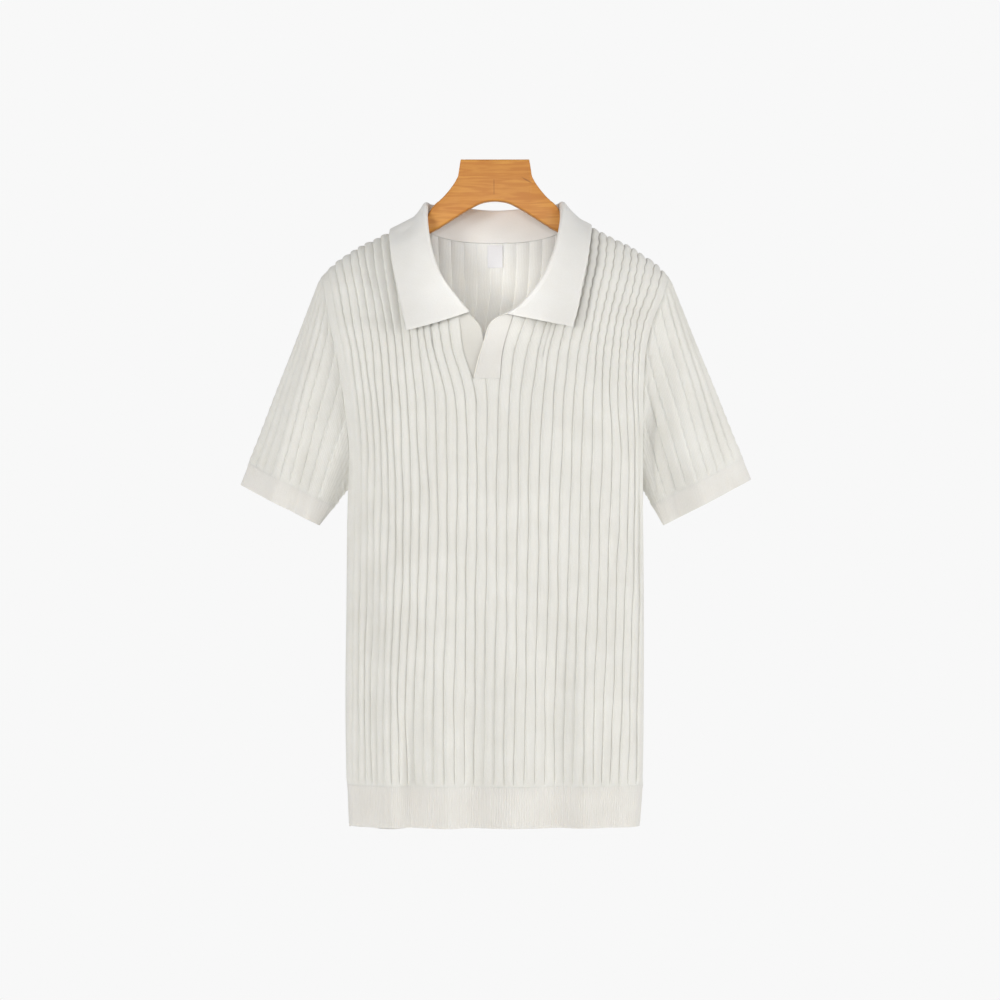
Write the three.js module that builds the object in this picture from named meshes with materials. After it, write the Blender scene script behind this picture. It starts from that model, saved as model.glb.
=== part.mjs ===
import * as THREE from 'three';
import { mergeVertices } from 'three/addons/utils/BufferGeometryUtils.js';

// A short-sleeved rib-knit polo shirt with an open collar, hanging on a wooden hanger.
// Millimetres, +Z up, the front faces -Y, +X is to the viewer's right.
// The origin is the middle of the flat top of the hanger's head.

// Cloth
const WALL = 1.5;
const RIB_HEIGHT = 1.5;
const BAND_WALL = 1.9;
const COLLAR_WALL = 2.0;
const LABEL_WALL = 0.7;
const GAP = 0.3;
const ARMHOLE_GAP = 0.6;
const SHOULDER_GAP = 0.7;
const COLLAR_GAP = 1.5;
const RIBS = 34;
const RIB_SHOULDER = 0.22;
const BAND_RISE = 0.4;

// Heights of the body
const HEM_BOTTOM = -744;
const HEM_TOP = -698;
const ARMPIT_Z = -366;
const V_BOTTOM = -247;
const V_LEFT = 16;
const V_RIGHT = 18;
const BACK_HEM_DROP = 9;
const BACK_HEM_DROP_X = -118;
const BACK_HEM_DROP_WIDTH = 38;

// Shoulder ridge: level of the neck point, and how it falls towards the sleeve
const NECK_X = 80;
const NECK_Z = -63.5;
const SHOULDER_FALL = 0.505;
const SHOULDER_ROUND = 0.006;
const SHOULDER_ROUND_X = 150;
const ROLL_DEPTH_CENTRE = 180;
const ROLL_DEPTH_TIP = 105;
const ROLL_TIP_X = 190;
const SEAM_ANGLE = THREE.MathUtils.degToRad(98);

// Rows of points up each panel, and the columns that step down the sides of the V slot
const LOWER_ROWS = 5;
const UPPER_ROWS = 11;
const SLOT_STEPS = 4;
const SLOT_WIDTH = 0.03;
const SLOT_INSET = 0.6;

// Armhole
const ARMHOLE_TOP = -130;
const ARMHOLE_DEPTH = 25;
const ARMHOLE_SPREAD = 2.2;
const ARMHOLE_ROUNDING = 0.8;
const MITRE_LIMIT = 1.5;
// The ribs fade out over this strip beside the armhole seam
const STRIP_START = 2;
const STRIP_END = 9;

// Columns of the body at each height: x of ribs 0, 9, 16, 18, 25, 31 and 34 on the front,
// how far front and back stand out, and how square each side is
const BODY = [
  { z: -756, r0: -162.5, r9: -95.5, r16: -23.0, r18: -1.5, r25: 75.0, r31: 135, r34: 160.5, front: 43, back: 39, left: 2.8, right: 3.6 },
  { z: -698, r0: -164.6, r9: -97.3, r16: -22.8, r18: -1.2, r25: 76.4, r31: 137.5, r34: 164.6, front: 44, back: 40, left: 2.8, right: 3.6 },
  { z: -602, r0: -165.8, r9: -98.4, r16: -22.0, r18: 0.4, r25: 77.5, r31: 140.8, r34: 165.8, front: 46, back: 42, left: 2.8, right: 3.8 },
  { z: -491, r0: -164.6, r9: -93.9, r16: -20.8, r18: 1.8, r25: 80.8, r31: 144.1, r34: 165.8, front: 50, back: 44, left: 2.8, right: 3.6 },
  { z: -381, r0: -163.5, r9: -91.7, r16: -19.6, r18: 2.6, r25: 83.0, r31: 147.4, r34: 164.6, front: 52, back: 46, left: 2.6, right: 3.2 },
  { z: -326, r0: -161.3, r9: -93.9, r16: -19.4, r18: 2.8, r25: 85.2, r31: 148.5, r34: 163.5, front: 52, back: 46, left: 2.3, right: 2.6 },
  { z: -270, r0: -166.9, r9: -96.0, r16: -20.5, r18: 4.2, r25: 87.4, r31: 145.2, r34: 163.5, front: 50, back: 45, left: 2.5, right: 2.7 },
  { z: -247, r0: -170.5, r9: -98.0, r16: -25.0, r18: 5.8, r25: 89.6, r31: 144.7, r34: 164.5, front: 48, back: 44, left: 2.6, right: 2.8 },
  { z: -215, r0: -175.8, r9: -100.6, r16: -35.0, r18: 8.8, r25: 93.0, r31: 146.2, r34: 166.9, front: 46, back: 43, left: 2.8, right: 2.9 },
  { z: -182, r0: -183.7, r9: -103.9, r16: -39.4, r18: 18.2, r25: 99.6, r31: 150.5, r34: 174.7, front: 43, back: 41, left: 3.0, right: 3.0 },
  { z: -149, r0: -189.3, r9: -109.4, r16: -45.0, r18: 30.0, r25: 106.3, r31: 160.9, r34: 188.2, front: 40, back: 40, left: 3.2, right: 3.2 },
  { z: -118, r0: -196.0, r9: -115.0, r16: -48.0, r18: 38.0, r25: 113.0, r31: 168.3, r34: 196.0, front: 40, back: 40, left: 3.2, right: 3.2 },
  { z: -82, r0: -199.0, r9: -119.0, r16: -46.0, r18: 44.0, r25: 117.0, r31: 171.7, r34: 199.0, front: 40, back: 40, left: 3.2, right: 3.2 },
];

const BODY_KNOTS = ['r0', 'r9', 'r16', 'r18', 'r25', 'r31', 'r34'];
const KNOT_RIBS = [0, 9, 16, 18, 25, 31, 34];

// The back's ribs hang evenly, but spread over the back of the neck and shift to one side
const BACK_SPREAD = 0.28;
const BACK_SHIFT = -5.7;
const BACK_SPREAD_TOP = -200;
const BACK_SPREAD_FOOT = -420;

// Soft folds of the body: where each runs, its half width, and how far it stands out (or in).
// Each is full by a share of its length and dies away near its foot and at the side seams.
const FOLD_FULL = 0.45;
const FOLD_WANE = 0.86;
const FOLD_EDGE_POWER = 6;
const FOLDS = [
  { side: 'front', topX: -114, topZ: -620, footX: -114, footZ: -800, width: 11, out: 6 },
  { side: 'front', topX: -92, topZ: -560, footX: -94, footZ: -800, width: 12, out: -8 },
  { side: 'front', topX: -55, topZ: -570, footX: -52, footZ: -800, width: 16, out: 6 },
  { side: 'front', topX: -24, topZ: -520, footX: -24, footZ: -800, width: 14, out: -7 },
  { side: 'front', topX: 18, topZ: -480, footX: 20, footZ: -800, width: 22, out: 5 },
  { side: 'front', topX: 66, topZ: -470, footX: 72, footZ: -800, width: 19, out: -8 },
  { side: 'front', topX: 104, topZ: -500, footX: 98, footZ: -780, width: 14, out: 4 },
  { side: 'front', topX: 140, topZ: -400, footX: 126, footZ: -780, width: 13, out: -6 },
  { side: 'front', topX: -144, topZ: -400, footX: -136, footZ: -660, width: 12, out: -7 },
  { side: 'front', topX: 164, topZ: -368, footX: 124, footZ: -462, width: 8, out: -5 },
  { side: 'front', topX: -134, topZ: -92, footX: -146, footZ: -190, width: 15, out: -5 },
  { side: 'front', topX: 158, topZ: -120, footX: 166, footZ: -232, width: 10, out: -4 },
  { side: 'back', topX: -92, topZ: -520, footX: -98, footZ: -800, width: 20, out: -6 },
  { side: 'back', topX: -40, topZ: -480, footX: -34, footZ: -800, width: 22, out: 5 },
  { side: 'back', topX: 18, topZ: -540, footX: 26, footZ: -800, width: 19, out: -6 },
  { side: 'back', topX: 88, topZ: -460, footX: 82, footZ: -800, width: 20, out: 5 },
  { side: 'back', topX: 138, topZ: -400, footX: 124, footZ: -760, width: 14, out: -5 },
  { side: 'back', topX: -142, topZ: -390, footX: -130, footZ: -680, width: 13, out: -4 },
];

// Neck seams. On the front, share runs from the V opening to the neck point on the
// shoulder, and on the back from one neck point to the other.
const NECK_POINT_X = 88;
const NECKLINE_LEFT = [
  { share: 0, z: -172 },
  { share: 0.31, z: -155 },
  { share: 0.58, z: -128 },
  { share: 0.8, z: -96 },
  { share: 1, z: -66 },
];
const NECKLINE_RIGHT = [
  { share: 0, z: -176 },
  { share: 0.27, z: -160 },
  { share: 0.53, z: -136 },
  { share: 0.78, z: -102 },
  { share: 1, z: -66 },
];
const NECKLINE_BACK = [
  { share: 0, z: -66 },
  { share: 0.09, z: -80 },
  { share: 0.27, z: -89 },
  { share: 0.5, z: -91 },
  { share: 0.73, z: -89 },
  { share: 0.91, z: -80 },
  { share: 1, z: -66 },
];

// Sleeves: outer and under corner of the cuff's edge, seen from the front, the folds that
// run down each, and how deep a hollow runs beside the armhole seam
const SLEEVE_LEFT = {
  side: -1, outer: [-284.5, -364], under: [-197, -409], depth: 20, bulge: 7, hollow: 0,
  folds: [
    { at: 0.42, width: 0.1, out: 5 },
    { at: 0.69, width: 0.09, out: -9 },
    { at: 0.87, width: 0.08, out: 6 },
  ],
};
const SLEEVE_RIGHT = {
  side: 1, outer: [286.5, -358], under: [189, -409], depth: 20, bulge: 7, hollow: 9,
  folds: [
    { at: 0.22, width: 0.1, out: -6 },
    { at: 0.55, width: 0.12, out: 5 },
    { at: 0.83, width: 0.09, out: -11 },
  ],
};
const SLEEVE_RIBS = 9;
const SLEEVE_SPREAD = 1.7;
const SLEEVE_ROUNDING = 0.6;
const HOLLOW_PLACE = 12;
const HOLLOW_WIDTH = 7;
const HOLLOW_START = 5;
const HOLLOW_SHARES = [0.25, 0.6, 0.93];
const SLEEVE_TOP_LENGTH = 250;
const SLEEVE_ROWS = 7;
const SLEEVE_STRIP_START = 1;
const SLEEVE_STRIP_END = 8;
const CUFF_STEPS = 30;
const CUFF_ROWS = 2;
const CUFF_LENGTH = 26;
const SLEEVE_BACK_FOLD_SHIFT = 0.12;

// Collar: seam, roll and outer edge of the leaf at each station, from the left front
// end round the back of the neck to the right front end, and how far the leaf bows out
const COLLAR = [
  { seam: 0, rollX: -29, rollY: -48.5, rollZ: -173, edgeX: -97, edgeY: -55, edgeZ: -194, bow: 2.5 },
  { seam: 0.2, rollX: -40, rollY: -47, rollZ: -160, edgeX: -101, edgeY: -53, edgeZ: -178, bow: 2.5 },
  { seam: 0.51, rollX: -60, rollY: -41, rollZ: -132, edgeX: -107.5, edgeY: -48, edgeZ: -147, bow: 2 },
  { seam: 0.76, rollX: -70.5, rollY: -32, rollZ: -102, edgeX: -113, edgeY: -43, edgeZ: -121, bow: 1 },
  { seam: 0.91, rollX: -75.5, rollY: -19, rollZ: -71, edgeX: -116.5, edgeY: -30, edgeZ: -98, bow: -2.5 },
  { seam: 1, rollX: -76, rollY: 0, rollZ: -50, edgeX: -117.5, edgeY: -2, edgeZ: -77.6, bow: -4.5 },
  { seam: 1.113, rollX: -70, rollY: 20, rollZ: -49, edgeX: -112, edgeY: 27, edgeZ: -98, bow: -2.5 },
  { seam: 1.29, rollX: -42, rollY: 34, rollZ: -50.5, edgeX: -62, edgeY: 44, edgeZ: -113, bow: 2 },
  { seam: 1.5, rollX: 0, rollY: 37, rollZ: -54, edgeX: 0, edgeY: 47, edgeZ: -118, bow: 2.5 },
  { seam: 1.71, rollX: 42, rollY: 34, rollZ: -51, edgeX: 62, edgeY: 44, edgeZ: -113, bow: 2 },
  { seam: 1.887, rollX: 68, rollY: 20, rollZ: -49, edgeX: 104, edgeY: 26, edgeZ: -92, bow: -0.5 },
  { seam: 2, rollX: 74.5, rollY: 0, rollZ: -49, edgeX: 108, edgeY: -2, edgeZ: -75, bow: -2 },
  { seam: 2.09, rollX: 73, rollY: -19, rollZ: -71, edgeX: 106, edgeY: -30, edgeZ: -92, bow: -0.5 },
  { seam: 2.24, rollX: 66, rollY: -34, rollZ: -104, edgeX: 102.5, edgeY: -43, edgeZ: -115, bow: 1 },
  { seam: 2.49, rollX: 52, rollY: -42, rollZ: -136, edgeX: 96.5, edgeY: -49, edgeZ: -142, bow: 2 },
  { seam: 2.8, rollX: 31, rollY: -47.5, rollZ: -163, edgeX: 92, edgeY: -53, edgeZ: -168, bow: 2.5 },
  { seam: 3, rollX: 14, rollY: -49, rollZ: -175.5, edgeX: 85.5, edgeY: -55, edgeZ: -190, bow: 2.5 },
];
const COLLAR_STEPS = 32;
const ROLL_RADIUS = 2.6;
const ROLL_STEPS = 4;
const LEAF_SHARES = [0.2, 0.45, 0.72, 1];
const LEAF_CLEARANCE = 1.7;

// Bands of the V opening: the free edge at each height
const BAND_LEFT = [
  { z: -247, inner: -9.8 },
  { z: -226, inner: -10.6 },
  { z: -206, inner: -12.0 },
  { z: -188, inner: -16.5 },
  { z: -176, inner: -26.0 },
];
const BAND_RIGHT = [
  { z: -247, inner: -23.2 },
  { z: -226, inner: -18.4 },
  { z: -206, inner: -12.0 },
  { z: -188, inner: -6.5 },
  { z: -178, inner: 3.0 },
];

// Label at the back neck
const LABEL_WIDTH = 17;
const LABEL_TOP = -93;
const LABEL_BOTTOM = -118;

// Hanger: top and underside heights and half thickness from the middle out
const HANGER = [
  { x: 0, top: 0, under: -46.5, half: 7.0 },
  { x: 15, top: 0, under: -48.6, half: 7.0 },
  { x: 31, top: 0, under: -56.7, half: 7.2 },
  { x: 38.4, top: 0, under: -61.3, half: 7.4 },
  { x: 41.4, top: -19, under: -63.2, half: 7.5 },
  { x: 45.5, top: -26.5, under: -65.8, half: 7.6 },
  { x: 51, top: -34.2, under: -69.3, half: 7.8 },
  { x: 58.2, top: -42.6, under: -73.8, half: 8.0 },
  { x: 65, top: -47.9, under: -78, half: 8.2 },
  { x: 72, top: -54.5, under: -82, half: 7.4 },
  { x: 79, top: -68, under: -86.4, half: 7.8 },
  { x: 90, top: -75, under: -93.5, half: 8.4 },
  { x: 108, top: -83.6, under: -104, half: 8.6 },
  { x: 128, top: -92.4, under: -114.6, half: 9.4 },
  { x: 146, top: -102.2, under: -123, half: 8.6 },
  { x: 160, top: -110.5, under: -127, half: 6.6 },
  { x: 166, top: -116.5, under: -125, half: 3.4 },
];
const HANGER_CORNER = 2.2;
const HANGER_ROUND_X = 70;
const HANGER_ROUND_SHARE = 0.92;

// How the surfaces are searched and measured
const TURN_PASSES = 14;
const SEARCH_PASSES = 30;
const CLEAR_PASSES = 5;
const FIRST_CLIMB = 600;
const EDGE_RIB = 0.25;
const SLEEVE_END_SHARE = 0.04;
const UNDERARM_SHARE = 0.98;
const WELD_DISTANCE = 1e-4;

const CLOTH_BODY = new THREE.MeshStandardMaterial({ color: 0xebe9e3, roughness: 0.92, metalness: 0 });
const CLOTH_PLAIN = new THREE.MeshStandardMaterial({ color: 0xeceae6, roughness: 0.9, metalness: 0 });
const LABEL_WHITE = new THREE.MeshStandardMaterial({ color: 0xf3f1f2, roughness: 0.6, metalness: 0 });
const WOOD = new THREE.MeshStandardMaterial({ color: 0xcb9650, roughness: 0.45, metalness: 0 });

// A smooth value between the rows of a table
function smoothBetween(a, b, c, d, t) {
  const slopeB = (c - a) / 2;
  const slopeC = (d - b) / 2;
  const t2 = t * t;
  const t3 = t2 * t;
  return (2 * t3 - 3 * t2 + 1) * b + (t3 - 2 * t2 + t) * slopeB + (3 * t2 - 2 * t3) * c + (t3 - t2) * slopeC;
}

function readSmooth(positions, values, at) {
  const last = positions.length - 1;
  const clamped = Math.min(Math.max(at, positions[0]), positions[last]);
  let k = 0;
  while (k < last - 1 && clamped > positions[k + 1]) k += 1;
  const span = positions[k + 1] - positions[k];
  const t = (clamped - positions[k]) / span;
  // Slopes use the true spacing, so that uneven rows give no overshoot
  const slope = (i) => {
    const low = Math.max(i - 1, 0);
    const high = Math.min(i + 1, last);
    return (values[high] - values[low]) / (positions[high] - positions[low]) * span;
  };
  const before = values[k + 1] - 2 * slope(k);
  const after = values[k] + 2 * slope(k + 1);
  return smoothBetween(before, values[k], values[k + 1], after, t);
}

function tableValue(table, placeName, valueName, at) {
  return readSmooth(table.map((row) => row[placeName]), table.map((row) => row[valueName]), at);
}

const BODY_HEIGHTS = BODY.map((row) => row.z);
function bodyValue(name, z) {
  return readSmooth(BODY_HEIGHTS, BODY.map((row) => row[name]), z);
}

// The x of rib number r on one side at height z
function ribX(side, r, z) {
  const knots = BODY_KNOTS.map((name) => bodyValue(name, z));
  if (side === 'front') return readSmooth(KNOT_RIBS, knots, r);
  const left = knots[0];
  const right = knots[knots.length - 1];
  const turn = 2 * Math.PI * r / RIBS;
  const high = THREE.MathUtils.smoothstep(z, BACK_SPREAD_FOOT, BACK_SPREAD_TOP);
  const share = (turn - BACK_SPREAD * high * Math.sin(turn)) / (2 * Math.PI);
  return left + (right - left) * share + BACK_SHIFT * high * Math.sin(turn / 2);
}

function ridgeZ(x) {
  const out = Math.abs(x) - NECK_X;
  if (out < 0) return NECK_Z - SHOULDER_FALL * out * (1 + out / (2 * NECK_X));
  const past = Math.max(0, Math.abs(x) - SHOULDER_ROUND_X);
  return NECK_Z - SHOULDER_FALL * out - SHOULDER_ROUND * past * past;
}

// How far below the ridge the cloth starts to turn over it
function rollDepth(x) {
  const share = THREE.MathUtils.smoothstep(Math.abs(x), NECK_X, ROLL_TIP_X);
  return ROLL_DEPTH_CENTRE + (ROLL_DEPTH_TIP - ROLL_DEPTH_CENTRE) * share;
}

function armholeDepth(z) {
  const share = (z - ARMPIT_Z) / (ARMHOLE_TOP - ARMPIT_Z);
  if (share <= 0) return 0;
  return ARMHOLE_DEPTH * Math.sin(Math.min(1, share * ARMHOLE_SPREAD) * Math.PI / 2) ** ARMHOLE_ROUNDING;
}

function foldOut(side, x, z) {
  let out = 0;
  for (const fold of FOLDS) {
    if (fold.side !== side) continue;
    const t = (z - fold.topZ) / (fold.footZ - fold.topZ);
    if (t <= 0 || t >= 1) continue;
    const centre = fold.topX + (fold.footX - fold.topX) * t;
    const rise = THREE.MathUtils.smoothstep(t, 0, FOLD_FULL) * (1 - THREE.MathUtils.smoothstep(t, FOLD_WANE, 1));
    out += fold.out * rise * Math.exp(-(((x - centre) / fold.width) ** 2));
  }
  return out;
}

// Depth of the body's outer surface before it turns over the ridge
function bodyDepth(side, x, z) {
  const left = bodyValue('r0', z);
  const right = bodyValue('r34', z);
  const middle = (left + right) / 2;
  const share = Math.min(1, Math.abs(x - middle) / ((right - left) / 2));
  const square = x < middle ? bodyValue('left', z) : bodyValue('right', z);
  const round = Math.max(0, 1 - share ** square) ** (1 / square);
  const edge = armholeDepth(z);
  const fold = foldOut(side, x, z) * (1 - share ** FOLD_EDGE_POWER);
  return edge + (bodyValue(side, z) - edge) * round + fold;
}

// A point of the body's outer surface. Climb is the height above the hem's top, and past
// the start of the shoulder it is the angle of the turn over the ridge times its depth.
function bodyPoint(side, r, climb) {
  let z = HEM_TOP + climb;
  let x = ribX(side, r, z);
  const start = ridgeZ(x) - rollDepth(x);
  let turn = 0;
  if (z > start) {
    for (let pass = 0; pass < TURN_PASSES; pass += 1) {
      const ridge = ridgeZ(x);
      const depth = rollDepth(x);
      turn = (HEM_TOP + climb - ridge + depth) / depth;
      z = ridge - depth * (1 - Math.sin(turn));
      x = ribX(side, r, z);
    }
  }
  const sign = side === 'front' ? -1 : 1;
  return new THREE.Vector3(x, sign * bodyDepth(side, x, z) * Math.cos(turn), z);
}

function climbAtAngle(side, r, angle) {
  let climb = FIRST_CLIMB;
  for (let pass = 0; pass < TURN_PASSES; pass += 1) {
    const x = bodyPoint(side, r, climb).x;
    climb = ridgeZ(x) - rollDepth(x) + rollDepth(x) * angle - HEM_TOP;
  }
  return climb;
}

function climbAtHeight(side, r, z) {
  let low = z - HEM_TOP - 10;
  let high = climbAtAngle(side, r, Math.PI / 2);
  for (let pass = 0; pass < SEARCH_PASSES; pass += 1) {
    const middle = (low + high) / 2;
    if (bodyPoint(side, r, middle).z < z) low = middle;
    else high = middle;
  }
  return (low + high) / 2;
}

// The body's outer surface at a given x and height
function bodyAt(side, x, z) {
  const sine = Math.max(0, 1 - (ridgeZ(x) - z) / rollDepth(x));
  const sign = side === 'front' ? -1 : 1;
  return new THREE.Vector3(x, sign * bodyDepth(side, x, z) * Math.sqrt(Math.max(0, 1 - sine * sine)), z);
}

function normalOf(surface, u, v, du, dv) {
  const alongU = surface(u + du, v).sub(surface(u - du, v));
  const alongV = surface(u, v + dv).sub(surface(u, v - dv));
  return alongU.cross(alongV).normalize();
}

function bodyNormal(side, r, climb) {
  const inside = Math.min(Math.max(r, EDGE_RIB), RIBS - EDGE_RIB);
  const normal = normalOf((u, v) => bodyPoint(side, u, v), inside, climb, 0.2, 3);
  return side === 'front' ? normal : normal.negate();
}

function bodyAtNormal(side, x, z) {
  const normal = normalOf((u, v) => bodyAt(side, u, v), x, z, 2, 2);
  return side === 'front' ? normal : normal.negate();
}

function moved(point, direction, distance) {
  return point.clone().addScaledVector(direction, distance);
}

// Meshes: two grids of points, outer and inner, closed along their edges
function addStrip(triangles, first, second) {
  let a = 0;
  let b = 0;
  while (a < first.length - 1 || b < second.length - 1) {
    const nextA = a < first.length - 1 ? first[a + 1].at : Infinity;
    const nextB = b < second.length - 1 ? second[b + 1].at : Infinity;
    if (nextA <= nextB) {
      triangles.push([first[a].id, second[b].id, first[a + 1].id]);
      a += 1;
    } else {
      triangles.push([first[a].id, second[b].id, second[b + 1].id]);
      b += 1;
    }
  }
}

function wallGeometry(outer, inner, closed) {
  const points = [];
  const number = (grid) => grid.rows.map((row) => row.map((point, column) => {
    points.push(point);
    return { id: points.length - 1, at: grid.columns[column] };
  }));
  const skins = [number(outer), number(inner)];
  const triangles = [];
  skins.forEach((skin, layer) => {
    const turn = closed ? skin[0].length : skin[0].length - 1;
    for (let i = 0; i < skin.length - 1; i += 1) {
      for (let j = 0; j < turn; j += 1) {
        const next = (j + 1) % skin[0].length;
        const a = skin[i][j].id;
        const b = skin[i][next].id;
        const c = skin[i + 1][next].id;
        const d = skin[i + 1][j].id;
        const straight = points[a].distanceTo(points[c]) <= points[b].distanceTo(points[d]);
        const pair = straight ? [[a, b, c], [a, c, d]] : [[a, b, d], [b, c, d]];
        for (const face of pair) triangles.push(layer === 0 ? face : face.reverse());
      }
    }
  });
  const lastRow = skins[0].length - 1;
  const loop = (row) => (closed ? [...row, { id: row[0].id, at: row[0].at + closed }] : row);
  addStrip(triangles, loop(skins[0][0]), loop(skins[1][0]));
  addStrip(triangles, loop(skins[1][lastRow]), loop(skins[0][lastRow]));
  if (!closed) {
    const side = (skin, column) => skin.map((row, i) => ({ id: row[column].id, at: i }));
    addStrip(triangles, side(skins[1], 0), side(skins[0], 0));
    addStrip(triangles, side(skins[0], skins[0][0].length - 1), side(skins[1], skins[1][0].length - 1));
  }
  return solidGeometry(points, triangles);
}

// An indexed geometry with its faces pointing out
function solidGeometry(points, triangles) {
  let volume = 0;
  for (const [a, b, c] of triangles) volume += points[a].dot(points[b].clone().cross(points[c]));
  const faces = volume < 0 ? triangles.map(([a, b, c]) => [a, c, b]) : triangles;
  const geometry = new THREE.BufferGeometry();
  geometry.setAttribute('position', new THREE.Float32BufferAttribute(points.flatMap((p) => p.toArray()), 3));
  geometry.setIndex(faces.flat());
  const merged = mergeVertices(geometry, WELD_DISTANCE);
  merged.computeVertexNormals();
  return merged;
}

function ribColumns(ribs, extra = []) {
  const crowns = [];
  for (let k = 0; k < ribs; k += 1) crowns.push(k, k + RIB_SHOULDER, k + 1 - RIB_SHOULDER);
  crowns.push(ribs);
  return [...new Set([...crowns, ...extra])].sort((a, b) => a - b);
}

function plainColumns(ribs, extra = []) {
  const grooves = Array.from({ length: ribs + 1 }, (_, k) => k);
  return [...new Set([...grooves, ...extra])].sort((a, b) => a - b);
}

function ribRise(r) {
  const share = r - Math.floor(r);
  return RIB_HEIGHT * Math.min(1, share / RIB_SHOULDER, (1 - share) / RIB_SHOULDER);
}

// Sleeves: a tube ruled from the armhole to the cuff. Around is 0 to 1 down the front,
// from the shoulder to the underarm, and 1 to 2 back up behind.
function armholePoint(sleeve, sign, share) {
  const side = sign < 0 ? 'front' : 'back';
  const rib = sleeve.side < 0 ? 0 : RIBS;
  const ridge = climbAtAngle(side, rib, Math.PI / 2);
  const armpit = ARMPIT_Z - HEM_TOP;
  const climb = ridge + (armpit - ridge) * share;
  // On the straight stretches between the panel's rows
  const run = (topClimb(side, rib) - armpit) / UPPER_ROWS;
  const low = Math.min(UPPER_ROWS - 1, Math.max(0, Math.floor((climb - armpit) / run)));
  const start = bodyPoint(side, rib, armpit + low * run);
  const end = bodyPoint(side, rib, armpit + (low + 1) * run);
  return start.lerp(end, (climb - armpit) / run - low);
}

// The hollow beside the armhole seam, at a distance from the seam and a place around the sleeve
function hollowShare(fromSeam, across) {
  const [begin, full, wane] = HOLLOW_SHARES;
  const profile = Math.exp(-(((fromSeam - HOLLOW_PLACE) / HOLLOW_WIDTH) ** 2));
  const length = THREE.MathUtils.smoothstep(across, begin, full) * (1 - THREE.MathUtils.smoothstep(across, wane, 1));
  return profile * length * THREE.MathUtils.smoothstep(fromSeam, 0, HOLLOW_START);
}

const armholeCache = new Map();
function sleevePoint(sleeve, around, along) {
  const turn = ((around % 2) + 2) % 2;
  const sign = turn <= 1 ? -1 : 1;
  const across = turn <= 1 ? turn : 2 - turn;
  const key = `${sleeve.side}${sign}${across.toFixed(6)}`;
  if (!armholeCache.has(key)) {
    armholeCache.set(key, armholePoint(sleeve, sign, 1 - (1 - across) ** (1 / SLEEVE_SPREAD)));
  }
  const start = armholeCache.get(key);
  const shift = sign > 0 ? SLEEVE_BACK_FOLD_SHIFT : 0;
  let depth = sleeve.depth * Math.sin(Math.PI * across) ** SLEEVE_ROUNDING;
  for (const fold of sleeve.folds) {
    depth += fold.out * Math.exp(-(((across - fold.at + shift) / fold.width) ** 2)) * Math.sin(Math.PI * across);
  }
  const end = new THREE.Vector3(
    sleeve.outer[0] + (sleeve.under[0] - sleeve.outer[0]) * across,
    sign * depth,
    sleeve.outer[1] + (sleeve.under[1] - sleeve.outer[1]) * across,
  );
  const length = start.distanceTo(end);
  const point = start.clone().lerp(end, ARMHOLE_GAP / length + (1 - ARMHOLE_GAP / length) * along);
  const swell = Math.sin(Math.PI * along) * Math.sin(Math.PI * across) * length / SLEEVE_TOP_LENGTH;
  point.y += sign * (sleeve.bulge * swell - sleeve.hollow * hollowShare(Math.abs(point.x - start.x), across));
  return point;
}

function sleeveLength(sleeve, around) {
  return sleevePoint(sleeve, around, 0).distanceTo(sleevePoint(sleeve, around, 1));
}

function sleeveNormal(sleeve, around, along) {
  const safe = Math.min(Math.max(along, SLEEVE_END_SHARE), 1 - SLEEVE_END_SHARE);
  return normalOf((u, v) => sleevePoint(sleeve, u, v), around, safe, 0.03, 0.03).multiplyScalar(sleeve.side);
}

// The direction of the wall along the armhole seam, shared by the body and the sleeve
function armholeMitre(sleeve, around) {
  const turn = ((around % 2) + 2) % 2;
  const side = turn <= 1 ? 'front' : 'back';
  const across = turn <= 1 ? turn : 2 - turn;
  const rib = sleeve.side < 0 ? 0 : RIBS;
  const top = climbAtAngle(side, rib, Math.PI / 2);
  const share = 1 - (1 - across) ** (1 / SLEEVE_SPREAD);
  const body = bodyNormal(side, rib, top + (ARMPIT_Z - HEM_TOP - top) * share);
  if (across > UNDERARM_SHARE) body.set(sleeve.side, 0, 0);
  const cloth = sleeveNormal(sleeve, around, 0);
  const mitre = body.clone().add(cloth).normalize();
  return mitre.multiplyScalar(Math.min(MITRE_LIMIT, 1 / Math.max(1 / MITRE_LIMIT, mitre.dot(cloth))));
}

// Body panels

// The height of the slot's edge: level across its foot, and stepped steeply up its sides
function slotTop(r) {
  const share = Math.min(1, (r - V_LEFT) / SLOT_WIDTH, (V_RIGHT - r) / SLOT_WIDTH);
  const table = r < (V_LEFT + V_RIGHT) / 2 ? NECKLINE_LEFT : NECKLINE_RIGHT;
  return table[0].z + (V_BOTTOM - table[0].z) * share;
}

function slotColumns() {
  const steps = Array.from({ length: SLOT_STEPS }, (_, k) => SLOT_WIDTH * (k + 1) / SLOT_STEPS);
  return steps.flatMap((step) => [V_LEFT + step, V_RIGHT - step]);
}

// The rib that meets the neck point on the shoulder
function findNeckRib(side, sign) {
  let low = sign < 0 ? 0 : RIBS / 2;
  let high = low + RIBS / 2;
  for (let pass = 0; pass < SEARCH_PASSES; pass += 1) {
    const middle = (low + high) / 2;
    const x = bodyPoint(side, middle, climbAtAngle(side, middle, Math.PI / 2)).x;
    if (x < sign * NECK_POINT_X) low = middle;
    else high = middle;
  }
  return (low + high) / 2;
}

const NECK_RIBS = {
  front: [findNeckRib('front', -1), findNeckRib('front', 1)],
  back: [findNeckRib('back', -1), findNeckRib('back', 1)],
};

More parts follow.
